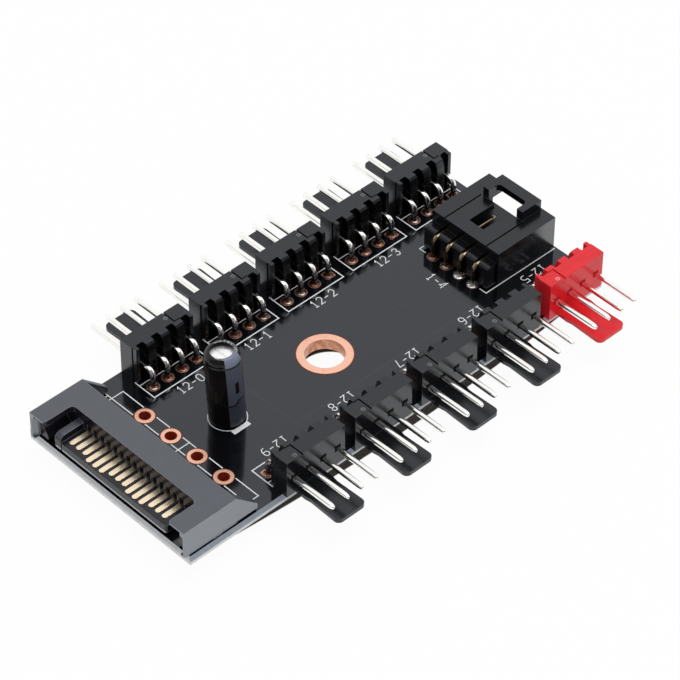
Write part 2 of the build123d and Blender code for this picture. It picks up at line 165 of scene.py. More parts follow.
class Graph:
    """A node tree that is built by expressions."""

    def __init__(self, tree: bpy.types.NodeTree) -> None:
        """Start from an empty tree."""
        self.tree = tree
        tree.nodes.clear()

    def node(self, kind: str, settings: Mapping[str, object] | None = None,
             inputs: Mapping[int | str, Value] | None = None,
             output: int | str = 0) -> Signal:
        """Add a node, set it, then fill its sockets.

        Args:
            kind: The node's type name.
            settings: Its own settings, such as a Math node's operation.
            inputs: Values or links by socket name or number.
            output: Which output to hand back.

        Returns:
            The chosen output as a signal.
        """
        made = self.tree.nodes.new(kind)
        for name, value in (settings or {}).items():
            setattr(made, name, value)
        for name, value in (inputs or {}).items():
            socket = made.inputs[name]
            if isinstance(value, Signal):
                self.tree.links.new(value.socket, socket)
            elif socket.type == "RGBA" and len(value) == 3:
                socket.default_value = (*value, 1.0)
            else:
                socket.default_value = value
        return Signal(self, made.outputs[output])

    def place(self) -> Signal:
        """Coordinates fixed to the piece, in metres."""
        return self.node("ShaderNodeTexCoord", output="Object")

    def at(self, axis: str) -> Signal:
        """One of those coordinates; the others are outputs of the same node."""
        return self.node("ShaderNodeSeparateXYZ", {}, {0: self.place()}, axis)

    def facing(self, axis: str) -> Signal:
        """One part of the surface's direction; the others are outputs of the same node."""
        normal = self.node("ShaderNodeNewGeometry", output="Normal")
        return self.node("ShaderNodeSeparateXYZ", {}, {0: normal}, axis)

    def noise(self, per_mm: float, detail: float = 3.0, roughness: float = 0.5,
              stretch: Place = (1.0, 1.0, 1.0)) -> Signal:
        """Even noise from 0 to 1.

        Args:
            per_mm: Features in a millimetre.
            detail: Octaves.
            roughness: Weight of the finer octaves.
            stretch: Scale along each axis.

        Returns:
            The noise value.
        """
        scaled = self.node("ShaderNodeVectorMath", {"operation": "MULTIPLY"},
                           {0: self.place(), 1: stretch})
        return self.node("ShaderNodeTexNoise", {}, {
            "Vector": scaled, "Scale": per_mm / MM, "Detail": detail, "Roughness": roughness})

    def cells(self, per_mm: float) -> Signal:
        """Distance to the nearest cell centre, for pits and pores."""
        return self.node("ShaderNodeTexVoronoi", {}, {"Vector": self.place(),
                                                      "Scale": per_mm / MM})

    def blend(self, factor: Value, first: Value, second: Value) -> Signal:
        """A colour between two others.

        Args:
            factor: Share of the second colour.
            first: Colour at 0.
            second: Colour at 1.

        Returns:
            The mixed colour.
        """
        pair = {0: factor}
        for index, colour in ((6, first), (7, second)):
            pair[index] = colour if isinstance(colour, Signal) else (*colour, 1.0)
        return self.node("ShaderNodeMix", {"data_type": "RGBA"}, pair, 2)

    def join(self, share: Value, first: Signal, second: Signal) -> Signal:
        """One shader giving way to a second by a share."""
        return self.node("ShaderNodeMixShader", {}, {0: share, 1: first, 2: second})

    def soft_edges(self, radius: float) -> Signal:
        """Normals that run smoothly over sharp edges."""
        return self.node("ShaderNodeBevel", {"samples": 6}, {"Radius": radius * MM})

    def edge_mask(self, rounded: Signal) -> Signal:
        """How far the rounded normal has turned from the flat one, from 0 to 1.

        Args:
            rounded: Normals from soft_edges.

        Returns:
            Zero on flat faces, rising over edges.
        """
        flat = self.node("ShaderNodeNewGeometry", output="Normal")
        same = self.node("ShaderNodeVectorMath", {"operation": "DOT_PRODUCT"},
                         {0: rounded, 1: flat}, "Value")
        return (1.0 - same).ramp(0.02, 0.25)

    def relief(self, height: Signal, depth: float, normal: Signal | None = None,
               strength: float = 1.0) -> Signal:
        """Turn a height into normals.

        Args:
            height: Height from 0 to 1.
            depth: Depth that a height of 1 stands for.
            normal: Normals to start from.
            strength: Share of the effect.

        Returns:
            The bumped normals.
        """
        inputs = {"Strength": strength, "Distance": depth * MM, "Height": height}
        if normal is not None:
            inputs["Normal"] = normal
        return self.node("ShaderNodeBump", {}, inputs)

    def surface(self, inputs: Mapping[str, Value]) -> Signal:
        """A principled surface."""
        return self.node("ShaderNodeBsdfPrincipled", {}, inputs)

    def finish(self, shader: Signal, kind: str = "ShaderNodeOutputMaterial") -> None:
        """Join a shader to the tree's output."""
        out = self.tree.nodes.new(kind)
        self.tree.links.new(shader.socket, out.inputs["Surface"])


def toned(colour: Colour, share: float, lift: float = 0.0) -> Colour:
    """A colour made darker or lighter."""
    return tuple(min(1.0, part * share + lift) for part in colour)


@dataclass(frozen=True)
class Finish:
    """What every finish shares: its name and the way it goes on pieces."""

    name: str

    def shade(self, graph: Graph) -> Signal:
        """The finish's shader."""
        raise NotImplementedError

    def material(self) -> bpy.types.Material:
        """The finish's material, made once.

        Returns:
            The material.
        """
        made = bpy.data.materials.get(self.name)
        if made is None:
            made = bpy.data.materials.new(self.name)
            made.use_nodes = True
            graph = Graph(made.node_tree)
            graph.finish(self.shade(graph))
        return made

    def dress(self, *pieces: bpy.types.Object) -> None:
        """Put the finish on pieces in place of what they had.

        Args:
            pieces: The pieces to dress.
        """
        for piece in pieces:
            if not piece.material_slots:
                piece.data.materials.append(self.material())
            for slot in piece.material_slots:
                slot.material = self.material()

    def dress_nodes(self, *names: str) -> None:
        """Put the finish on CAD nodes."""
        self.dress(*(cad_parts[name] for name in names))


@dataclass(frozen=True)
class MouldedPlastic(Finish):
    """Injection-moulded plastic with a fine spark-eroded grain.

    Outer faces along Y that lie past polished_from are glossier, because polished slides form
    them. The gloss sets in over polished_span along X.
    """

    colour: Colour
    roughness: float = 0.5
    grain: float = 0.006
    mottle: float = 0.15
    edge_radius: float = 0.09
    # Gain of the painted highlight along edges.
    edge_highlight: float = 1.5
    specular: float = 0.5
    tint: Colour = WHITE
    polished_from: float = 100.0
    polished_span: Point = (-100.0, -99.0)
    polish_weight: float = 1.0

    def polish(self, graph: Graph) -> Signal:
        """How polished a face is.

        Args:
            graph: Tree to build in.

        Returns:
            The coat's weight.
        """
        start, full = self.polished_span
        along, where = graph.facing("Y"), graph.at("Y")
        reached = where.output("X").ramp(start * MM, full * MM)
        outer = (abs(along) > 0.5) * (abs(where) > self.polished_from * MM)
        return outer * reached * self.polish_weight

    def shade(self, graph: Graph) -> Signal:
        """Grain in the normals, a faint flow pattern and a painted highlight along the edges.

        Args:
            graph: Tree to build in.

        Returns:
            The shader.
        """
        rounded = graph.soft_edges(self.edge_radius)
        fine = graph.noise(9.0, detail=3.0, roughness=0.6)
        flow = graph.noise(0.35, detail=4.0, roughness=0.55, stretch=(1.0, 2.2, 1.0))
        base = graph.blend(flow.ramp(0.3, 0.7), toned(self.colour, 1.0 - self.mottle),
                           toned(self.colour, 1.0 + self.mottle))
        # Painted highlight: the colour turns lighter along edges, in patches of noise.
        base = graph.blend(graph.edge_mask(rounded) * graph.noise(1.6).ramp(0.3, 0.65), base,
                           toned(self.colour, self.edge_highlight, 0.004))
        gloss = fine.ramp(0.25, 0.75, self.roughness - 0.06, self.roughness + 0.07)
        return graph.surface({
            "Base Color": base, "Roughness": gloss, "Specular IOR Level": self.specular,
            "Specular Tint": self.tint, "Coat Weight": self.polish(graph), "Coat Roughness": 0.15,
            "Normal": graph.relief(fine + flow * 0.6, self.grain, rounded)})


@dataclass(frozen=True)
class PlugPlastic(Finish):
    """Glass-filled plastic: grey sheen outside, a darker and less glossy contact carrier inside,
    partly painted shade.

    outer is the front and the side past which the shell's upright walls take a paler colour as
    painted light; carrier is its rear end, half width and top; the low front edge, given by its
    front, half width and top, gets a painted highlight.
    """

    colour: Colour
    # Darker colour inside the shell, partly painted shade.
    inner: Colour
    # Pale grey painted as a highlight on edges.
    highlight_grey: Colour
    # Paler colour of the outer upright walls: painted light.
    upright: Colour
    outer: Point
    carrier: Place
    mouth: float = -38.1
    highlit_lower_edge: Place = (-37.2, 10.9, 2.4)

    def inside(self, graph: Graph, level: Signal) -> Signal:
        """One on the contact carrier and the window's walls, where the darker carrier surface goes
        as partly painted shade, else zero.

        Args:
            graph: Tree to build in.
            level: Upward part of the surface's direction, without its sign.

        Returns:
            The mask.
        """
        wall, half, top = self.carrier
        x = graph.at("X")
        walls = (level < 0.5) * (x > self.mouth * MM)
        low = (x.output("Z") < top * MM).most(walls)
        return (x < wall * MM) * (abs(x.output("Y")) < half * MM) * low

    def shade(self, graph: Graph) -> Signal:
        """Spark-eroded grain with a painted highlight along the edges, painted light on the outer
        upright walls, and the smoother, darker carrier, partly painted shade.

        Args:
            graph: Tree to build in.

        Returns:
            The shader.
        """
        rounded = graph.soft_edges(0.14)
        fine = graph.noise(8.0, detail=3.0, roughness=0.6)
        flow = graph.noise(0.4, detail=4.0, roughness=0.6, stretch=(2.2, 1.0, 1.0))
        base = graph.blend(flow.ramp(0.3, 0.7), toned(self.colour, 0.75), self.colour)
        # Painted highlight: a pale grey along the edges, in patches of noise.
        highlit_edges = graph.edge_mask(rounded) * graph.noise(1.2).ramp(0.1, 0.5)
        upward, x = graph.facing("Z"), graph.at("X")
        front, side = self.outer
        outer = (x < front * MM).most(abs(x.output("Y")) > side * MM)
        # Painted light: outer upright walls take a paler colour.
        base = graph.blend(abs(upward).ramp(0.7, 0.3) * outer, base, self.upright)
        base = graph.blend(highlit_edges, base, self.highlight_grey)
        nose, reach, high = self.highlit_lower_edge
        # Painted highlight over the low front edge of the mouth.
        lip = (x < nose * MM) * (abs(x.output("Y")) < reach * MM) * (x.output("Z") < high * MM)
        normal = graph.relief(fine + flow * 0.5, 0.008, rounded)
        sheen = graph.surface({
            "Base Color": base, "Roughness": fine.ramp(0.25, 0.75, 0.36, 0.5), "IOR": 1.88,
            "Normal": normal})
        # The carrier's darker colour is partly painted shade inside the shell.
        carrier = graph.surface({
            "Base Color": graph.blend((highlit_edges * 0.7).most(lip), self.inner, self.highlight_grey),
            "Roughness": fine.ramp(0.25, 0.75, 0.2, 0.3), "IOR": 1.4, "Normal": normal})
        return graph.join(self.inside(graph, abs(upward)), sheen, carrier)


@dataclass(frozen=True)
class MaskedLaminate(Finish):
    """Glass-fibre laminate with a glossy solder mask on both faces.

    The long edges turn pale below light_height; the ends are paler over end_fade.
    """

    mask: Colour
    core: Colour
    core_light: Colour
    snapped: Colour
    dust: Colour = (0.05, 0.05, 0.05)
    light_height: float = 0.5
    light_blur: float = 0.12
    end_fade: Point = (0.3, 1.0)

    def shade(self, graph: Graph) -> Signal:
        """Mask where the face looks up or down, cut laminate on the edges.

        Args:
            graph: Tree to build in.

        Returns:
            The shader.
        """
        upward = graph.facing("Z")
        end = abs(upward.output("X")) > 0.5
        height = graph.at("Z")
        orange_peel = graph.noise(0.45, detail=2.0, roughness=0.4)
        dust = graph.noise(2.4, detail=5.0, roughness=0.7).ramp(0.68, 0.8)
        masked = graph.surface({
            "Base Color": graph.blend(dust * 0.25, self.mask, self.dust), "IOR": 1.64,
            "Specular Tint": COOL,
            "Roughness": graph.noise(0.12, detail=3.0).ramp(0.3, 0.7, 0.07, 0.12) + dust * 0.1,
            "Normal": graph.relief(orange_peel, 0.0025, strength=0.5)})
        fibres = graph.noise(1.1, detail=4.0, roughness=0.65, stretch=(1.0, 1.0, 9.0))
        bundles = graph.noise(0.8, detail=3.0, roughness=0.6, stretch=(2.5, 2.5, 0.4))
        side = height.ramp((self.light_height - self.light_blur) * MM,
                           (self.light_height + self.light_blur) * MM)
        low = side * (1.0 - end) + height.ramp(*(z * MM for z in self.end_fade)) * end
        cut = graph.blend(low, self.core_light, graph.blend(end, self.core, self.snapped))
        cut = graph.blend(fibres.ramp(0.4, 0.75) * 0.35, cut, toned(self.core, 0.72))
        cut = graph.blend(bundles.ramp(0.55, 0.75) * 0.3, cut, self.core_light)
        edge = graph.surface({
            "Base Color": cut, "Roughness": fibres.ramp(0.2, 0.8, 0.5, 0.75),
            "Normal": graph.relief(fibres + bundles, 0.02, graph.soft_edges(0.04))})
        return graph.join(abs(upward) > 0.5, edge, masked)


@dataclass(frozen=True)
class PlatedMetal(Finish):
    """Thin plated or rolled metal with drawing lines and a little tarnish.

    upright is the colour of upright walls, painted shade; the colour low on a soldered pin is
    painted shade too, for the shade it sits in and the dark board it mirrors, and it fades in over
    a span of heights.
    """

    colour: Colour
    tarnish: Colour
    roughness: float = 0.22
    tarnish_share: float = 0.3
    lines: Place = (3.0, 3.0, 3.0)
    depth: float = 0.002
    edge_radius: float = 0.04
    upright: Colour | None = None
    low_shade: Colour | None = None
    low_shade_fade: Point = (3.1, 3.9)

    def shade(self, graph: Graph) -> Signal:
        """Metal whose colour and gloss wander with tarnish and drawing lines, with painted shade
        on upright walls and low on pins where those colours are given.

        Args:
            graph: Tree to build in.

        Returns:
            The shader.
        """
        drawn = graph.noise(2.0, detail=3.0, roughness=0.6, stretch=self.lines)
        stain = graph.noise(0.9, detail=4.0, roughness=0.6).ramp(0.45, 0.75) * self.tarnish_share
        colour = graph.blend(stain, self.colour, self.tarnish)
        if self.upright is not None:
            # Painted shade: upright walls take a darker, mottled colour.
            wall_mottle = graph.noise(1.0, detail=4.0, roughness=0.6).ramp(0.35, 0.7) * 0.8
            wall = graph.blend(wall_mottle, self.upright, self.colour)
            colour = graph.blend(abs(graph.facing("Z")) > 0.5, wall, colour)
        if self.low_shade is not None:
            # Painted shade: the colour darkens low on a pin.
            low, high = self.low_shade_fade
            colour = graph.blend(graph.at("Z").ramp(low * MM, high * MM), self.low_shade, colour)
        gloss = drawn.ramp(0.3, 0.7, self.roughness * 0.8, self.roughness * 1.3)
        return graph.surface({
            "Base Color": colour, "Metallic": 1.0, "Roughness": gloss + stain * 0.2,
            "Normal": graph.relief(drawn, self.depth, graph.soft_edges(self.edge_radius))})


@dataclass(frozen=True)
class SolderAlloy(Finish):
    """Reflowed solder over copper, with flux left in the hollows."""

    bright: Colour
    copper: Colour
    flux: Colour

    def shade(self, graph: Graph) -> Signal:
        """Solder that lets copper through, browned where flux has dried.

        Args:
            graph: Tree to build in.

        Returns:
            The shader.
        """
        lumps = graph.noise(1.3, detail=4.0, roughness=0.6)
        thin = graph.noise(0.7, detail=2.0).ramp(0.36, 0.54)
        metal = graph.blend(thin, self.bright, self.copper)
        baked = graph.noise(1.1, detail=3.0).ramp(0.48, 0.66)
        return graph.surface({
            "Base Color": graph.blend(baked * 0.75, metal, self.flux),
            "Metallic": 1.0 - baked * 0.35, "Roughness": lumps.ramp(0.3, 0.7, 0.16, 0.36),
            "Normal": graph.relief(lumps, 0.03)})


@dataclass(frozen=True)
class PrintedInk(Finish):
    """Screen-printed white ink, thin at its edges."""

    colour: Colour
    thin: Colour

    def shade(self, graph: Graph) -> Signal:
        """Ink with small gaps where the mask shows through.

        Args:
            graph: Tree to build in.

        Returns:
            The shader.
        """
        patchy = graph.noise(4.5, detail=4.0, roughness=0.65)
        return graph.surface({
            "Base Color": graph.blend(patchy.ramp(0.62, 0.8) * 0.6, self.colour, self.thin),
            "Roughness": patchy.ramp(0.3, 0.7, 0.45, 0.6),
            "Normal": graph.relief(patchy, 0.008)})


@dataclass(frozen=True)
class CellFoam(Finish):
    """Closed-cell foam, cut at its edges, so its cells show as pits."""

    colour: Colour
    pit_shade: Colour

    def shade(self, graph: Graph) -> Signal:
        """Pits darkened as painted shade, over a dull, slightly uneven body.

        Args:
            graph: Tree to build in.

        Returns:
            The shader.
        """
        pits = graph.cells(3.2)
        return graph.surface({
            # Painted shade: darker colour in each pit.
            "Base Color": graph.blend(pits.ramp(0.15, 0.5), self.pit_shade, self.colour),
            "Roughness": graph.noise(1.5).ramp(0.3, 0.7, 0.82, 0.95),
            "Normal": graph.relief(pits + graph.noise(1.2) * 0.5, 0.12)})


@dataclass(frozen=True)
class LinerPaper(Finish):
    """Siliconised paper with faint fibres."""

    colour: Colour
    fibre: Colour

    def shade(self, graph: Graph) -> Signal:
        """Paper fibres under a thin smooth coat.

        Args:
            graph: Tree to build in.

        Returns:
            The shader.
        """
        fibres = graph.noise(1.8, detail=5.0, roughness=0.7, stretch=(1.0, 3.0, 1.0))
        return graph.surface({
            "Base Color": graph.blend(fibres.ramp(0.4, 0.7) * 0.5, self.colour, self.fibre),
            "Roughness": fibres.ramp(0.3, 0.7, 0.38, 0.55), "Coat Weight": 0.2,
            "Normal": graph.relief(fibres, 0.01)})


@dataclass(frozen=True)
class ShrunkFilm(Finish):
    """Glossy heat-shrunk film with the printed stripe of the negative lead.

    slope is the leaning axis's run along X and Y for its rise. The stripe lies around the
    direction facing, half_angle to each side; dash is the middle, half height and half angle of
    the bare mark in it. Heights are measured from the foot.
    """

    colour: Colour
    haze: Colour
    stripe: Colour
    cut: Colour
    slope: Point
    facing: float
    half_angle: float
    dash: Place
    shoulder: float
    lip: float
    foot: Place = CAPACITOR_FOOT
    fold: float = 4.2
    fold_wave: float = 2.6
    crease: float = 0.12

    def angle(self, graph: Graph) -> tuple[Signal, Signal]:
        """The angle around the leaning axis from the stripe's middle, and the height.

        Args:
            graph: Tree to build in.

        Returns:
            Angle in degrees and height in metres.
        """
        x = graph.at("X")
        height = x.output("Z") - self.foot[2] * MM
        dx = x - height * self.slope[0] - self.foot[0] * MM
        dy = x.output("Y") - height * self.slope[1] - self.foot[1] * MM
        c, s = cos(radians(self.facing)), sin(radians(self.facing))
        turn = graph.node("ShaderNodeMath", {"operation": "ARCTAN2"},
                          {0: dy * c - dx * s, 1: dx * c + dy * s})
        return abs(turn) * (180 / pi), height

    def stripe_ink(self, angle: Signal, height: Signal) -> Signal:
        """Where the stripe is printed.

        Args:
            angle: Angle from the stripe's middle, in degrees.
            height: Height in metres.

        Returns:
            One on ink, zero on bare film.
        """
        middle, reach, half = self.dash
        ink = 1.0 - angle.ramp(self.half_angle - 0.8, self.half_angle + 0.8)
        along = abs(height - middle * MM).ramp((reach - 0.1) * MM, (reach + 0.1) * MM)
        return ink * along.most(angle.ramp(half - 1.5, half + 1.5))

    def shade(self, graph: Graph) -> Signal:
        """Stripe with its dash, folds in the film and a haze where it has stretched; the stripe
        carries painted light, darker low and lighter up to and over the shoulder, and painted
        shade lines at the shoulder's edge and along the fold.

        Args:
            graph: Tree to build in.

        Returns:
            The shader.
        """
        angle, height = self.angle(graph)
        ink = self.stripe_ink(angle, height)
        ripples = graph.noise(0.35, detail=2.0, roughness=0.5, stretch=(1.0, 1.0, 0.45))
        haze = graph.noise(0.8, detail=4.0, roughness=0.6).ramp(0.5, 0.75)
        flecks = graph.noise(3.2, detail=4.0, roughness=0.7).ramp(0.4, 0.6)
        rim = graph.blend(flecks, toned(self.cut, 0.4), toned(self.cut, 2.2))
        base = graph.blend(haze * 0.5, self.colour, self.haze)
        base = graph.blend(height > self.lip * MM, base, rim)
        top, crease = self.shoulder * MM, self.crease * MM
        wave = (graph.noise(0.4, detail=1.0) - 0.5) * (self.fold_wave * MM)
        bend = height + wave - self.fold * MM
        folded = abs(bend) < crease
        # Painted light: the stripe is darker below the fold and lightens towards the shoulder.
        stripe_light_share = (bend > 0.0) * 0.65 + height.ramp(self.fold * MM, top) * 0.35
        stripe = graph.blend(stripe_light_share, toned(self.stripe, 0.62), self.stripe)
        # Painted highlight: the stripe is lighter on the shoulder.
        stripe = graph.blend(height > top, stripe, toned(self.stripe, 2.1))
        # Painted shade: dark lines at the shoulder's edge and along the fold.
        stripe = graph.blend(abs(height - top) < crease, stripe, self.colour)
        stripe = graph.blend(folded, stripe, self.colour)
        return graph.surface({
            "Base Color": graph.blend(ink, base, stripe), "IOR": 1.39,
            "Roughness": haze * 0.06 + ink * 0.1 + 0.2 + folded * 0.4,
            "Normal": graph.relief(ripples, 0.03)})


# Painted highlight: the black header plastic is made four times lighter along its edges.
BLACK_PLASTIC = MouldedPlastic(
    "header_black_plastic", (0.002, 0.002, 0.0025), 0.22, mottle=0.2, edge_radius=0.06,
    edge_highlight=4.0, specular=0.6, tint=COOL, polished_from=15.8, polish_weight=0.15)
RED_PLASTIC = MouldedPlastic(
    "header_red_plastic", (0.79, 0.017, 0.026), 0.22, grain=0.004, mottle=0.06,
    edge_radius=0.07, edge_highlight=1.35, specular=0.37)
SOCKET_PLASTIC = MouldedPlastic(
    "control_header_plastic", (0.002, 0.002, 0.0025), 0.2, grain=0.005, mottle=0.2,
    edge_radius=0.08, edge_highlight=3.0, specular=0.55, tint=COOL, polished_from=6.2,
    polished_span=(32.5, 35.5))
SCUFFED_BLACK = MouldedPlastic("scuffed_black", (0.12, 0.12, 0.13), 0.3, mottle=0.2)
SCUFFED_RED = MouldedPlastic("scuffed_red", (0.9, 0.3, 0.32), 0.3, mottle=0.1)
# Painted shade: matte dark finishes for thin patches that stand for the shade in pin pockets and
# at the moulded step.
SHADE_BLACK = MouldedPlastic("pocket_shade_black", (0.001, 0.001, 0.001), 0.7, grain=0.004, mottle=0.1,
                            edge_radius=0.05, edge_highlight=1.0, specular=0.1)
SHADE_RED = MouldedPlastic("pocket_shade_red", (0.52, 0.008, 0.014), 0.6, grain=0.004, mottle=0.1,
                          edge_radius=0.05, edge_highlight=1.0, specular=0.1)
BUNG = MouldedPlastic("bung_rubber", (0.02, 0.02, 0.02), 0.75, grain=0.01, mottle=0.2,
                      edge_radius=0.05, edge_highlight=1.3)
# Painted light: the paler side colour on outer walls and the pale grey on edges; the inner colour
# is partly painted shade.
PLUG_PLASTIC = PlugPlastic(
    "power_plug_plastic", (0.015, 0.024, 0.044), inner=(0.012, 0.0105, 0.0165),
    highlight_grey=(0.4, 0.42, 0.45), upright=(0.21, 0.235, 0.27), outer=(-37.6, 14.2),
    carrier=(-33.25, 14.05, 3.5))
BOARD_LAMINATE = MaskedLaminate(
    "board_laminate", mask=(0.003, 0.0032, 0.0045), core=(0.30, 0.34, 0.40),
    core_light=(0.86, 0.87, 0.86), snapped=(0.52, 0.54, 0.56))
TRACK_MASK = MaskedLaminate(
    "mask_over_track", mask=(0.01, 0.0105, 0.0125), core=(0.30, 0.34, 0.40),
    core_light=(0.30, 0.34, 0.40), snapped=(0.30, 0.34, 0.40))
# Painted shade: the darker colour on the copper's upright walls.
COPPER = PlatedMetal("bare_copper", (0.84, 0.485, 0.36), (0.62, 0.3, 0.2), 0.36, 0.4,
                     depth=0.006, upright=(0.5, 0.2, 0.11))
LAND_COPPER = PlatedMetal("fluxed_copper", (0.43, 0.25, 0.205), (0.2, 0.085, 0.06), 0.34, 0.6,
                          depth=0.008)
BARREL_COPPER = PlatedMetal("barrel_copper", (0.95, 0.26, 0.14), (0.7, 0.1, 0.05), 0.5, 0.5,
                            lines=(3.0, 3.0, 0.6), depth=0.01)
BROWN_COPPER = PlatedMetal("oxidised_copper", (0.2, 0.06, 0.035), (0.1, 0.03, 0.02), 0.45, 0.5,
                           depth=0.01)
# Painted shade: the tin darkens low on the pins.
TIN = PlatedMetal("tinned_pin_metal", (0.97, 0.965, 0.94), (0.7, 0.67, 0.6), 0.1, 0.2,
                  lines=(6.0, 0.6, 6.0), depth=0.0006, low_shade=(0.15, 0.15, 0.16))
GOLD = PlatedMetal("gold_contact_metal", (0.92, 0.77, 0.56), (0.66, 0.48, 0.27), 0.26, 0.25,
                   lines=(0.6, 6.0, 6.0), depth=0.001)
# Painted shade: the pins darken low down.
BRONZE = PlatedMetal("control_pin_metal", (0.32, 0.245, 0.155), (0.12, 0.075, 0.045), 0.17, 0.6,
                     lines=(6.0, 6.0, 0.6), depth=0.001, low_shade=(0.13, 0.09, 0.055),
                     low_shade_fade=(3.6, 4.6))
CAN = PlatedMetal("capacitor_aluminium", (0.92, 0.92, 0.93), (0.7, 0.7, 0.72), 0.3, 0.2)
SOLDER = SolderAlloy("reflowed_solder", bright=(0.36, 0.31, 0.27), copper=(0.30, 0.13, 0.085),
                     flux=(0.07, 0.024, 0.014))
BRIGHT_SOLDER = SolderAlloy("bright_solder", bright=(0.75, 0.75, 0.76),
                            copper=(0.6, 0.57, 0.55), flux=(0.3, 0.27, 0.24))
INK = PrintedInk("printed_ink", (0.86, 0.88, 0.9), thin=(0.4, 0.41, 0.43))
# Painted shade in the foam's pits.
FOAM = CellFoam("pad_cell_foam", (0.035, 0.029, 0.022), pit_shade=(0.012, 0.01, 0.008))
LINER = LinerPaper("liner_paper", (0.80, 0.79, 0.74), fibre=(0.66, 0.63, 0.55))
SLEEVE = ShrunkFilm(
    "capacitor_film", (0.0035, 0.0035, 0.004), haze=(0.008, 0.008, 0.009),
    stripe=(0.085, 0.098, 0.132), cut=(0.17, 0.175, 0.18), slope=(-0.0353, 0.0338),
    facing=-89.0, half_angle=33.5, dash=(7.0, 0.95, 7.0), shoulder=10.75, lip=11.93)


@dataclass(frozen=True)
class HeaderLook:
    """The finishes and the slot that go with a fan header's colour."""

    body: MouldedPlastic
    scuffed: MouldedPlastic
    # Finish of the patches painted as shade.
    shade_patch: MouldedPlastic
    slot: Slot


BLACK_LOOK = HeaderLook(BLACK_PLASTIC, SCUFFED_BLACK, SHADE_BLACK, Slot.BLACK)
RED_LOOK = HeaderLook(RED_PLASTIC, SCUFFED_RED, SHADE_RED, Slot.RED)


def centred(count: int, pitch: float) -> list[float]:
    """Evenly spaced offsets about zero."""
    return [pitch * (i - (count - 1) / 2) for i in range(count)]


def mitre(before: Point | None, point: Point, after: Point | None) -> Vector:
    """The sideways offset of a line of half-width 1 at one of its points.

    Args:
        before: The point before, or none at an open end.
        point: The point itself.
        after: The point after, or none at an open end.

    Returns:
        The offset to the left.
    """
    normals = []
    for start, end in ((before, point), (point, after)):
        if start is not None and end is not None:
            length = hypot(end[0] - start[0], end[1] - start[1])
            normals.append(Vector((-(end[1] - start[1]), end[0] - start[0])) / length)
    if len(normals) == 1:
        return normals[0]
    middle = (normals[0] + normals[1]).normalized()
    return middle / max(0.3, middle.dot(normals[0]))


def inset(outline: Sequence[Point], amount: float) -> list[Point]:
    """An outline moved inwards.

    Args:
        outline: Corner points, counter-clockwise.
        amount: Distance.

    Returns:
        The smaller outline.
    """
    count = len(outline)
    moved = []
    for i, point in enumerate(outline):
        offset = mitre(outline[i - 1], point, outline[(i + 1) % count]) * amount
        moved.append((point[0] + offset.x, point[1] + offset.y))
    return moved


def arc(x: float, y: float, radius: float, start: float, end: float, steps: int) -> list[Point]:
    """Points along an arc.

    Args:
        x: Centre.
        y: Centre.
        radius: Radius.
        start: First angle in degrees.
        end: Last angle in degrees.
        steps: Spans between points.

    Returns:
        The points.
    """
    turns = [radians(start + (end - start) * i / steps) for i in range(steps + 1)]
    return [(x + radius * cos(turn), y + radius * sin(turn)) for turn in turns]


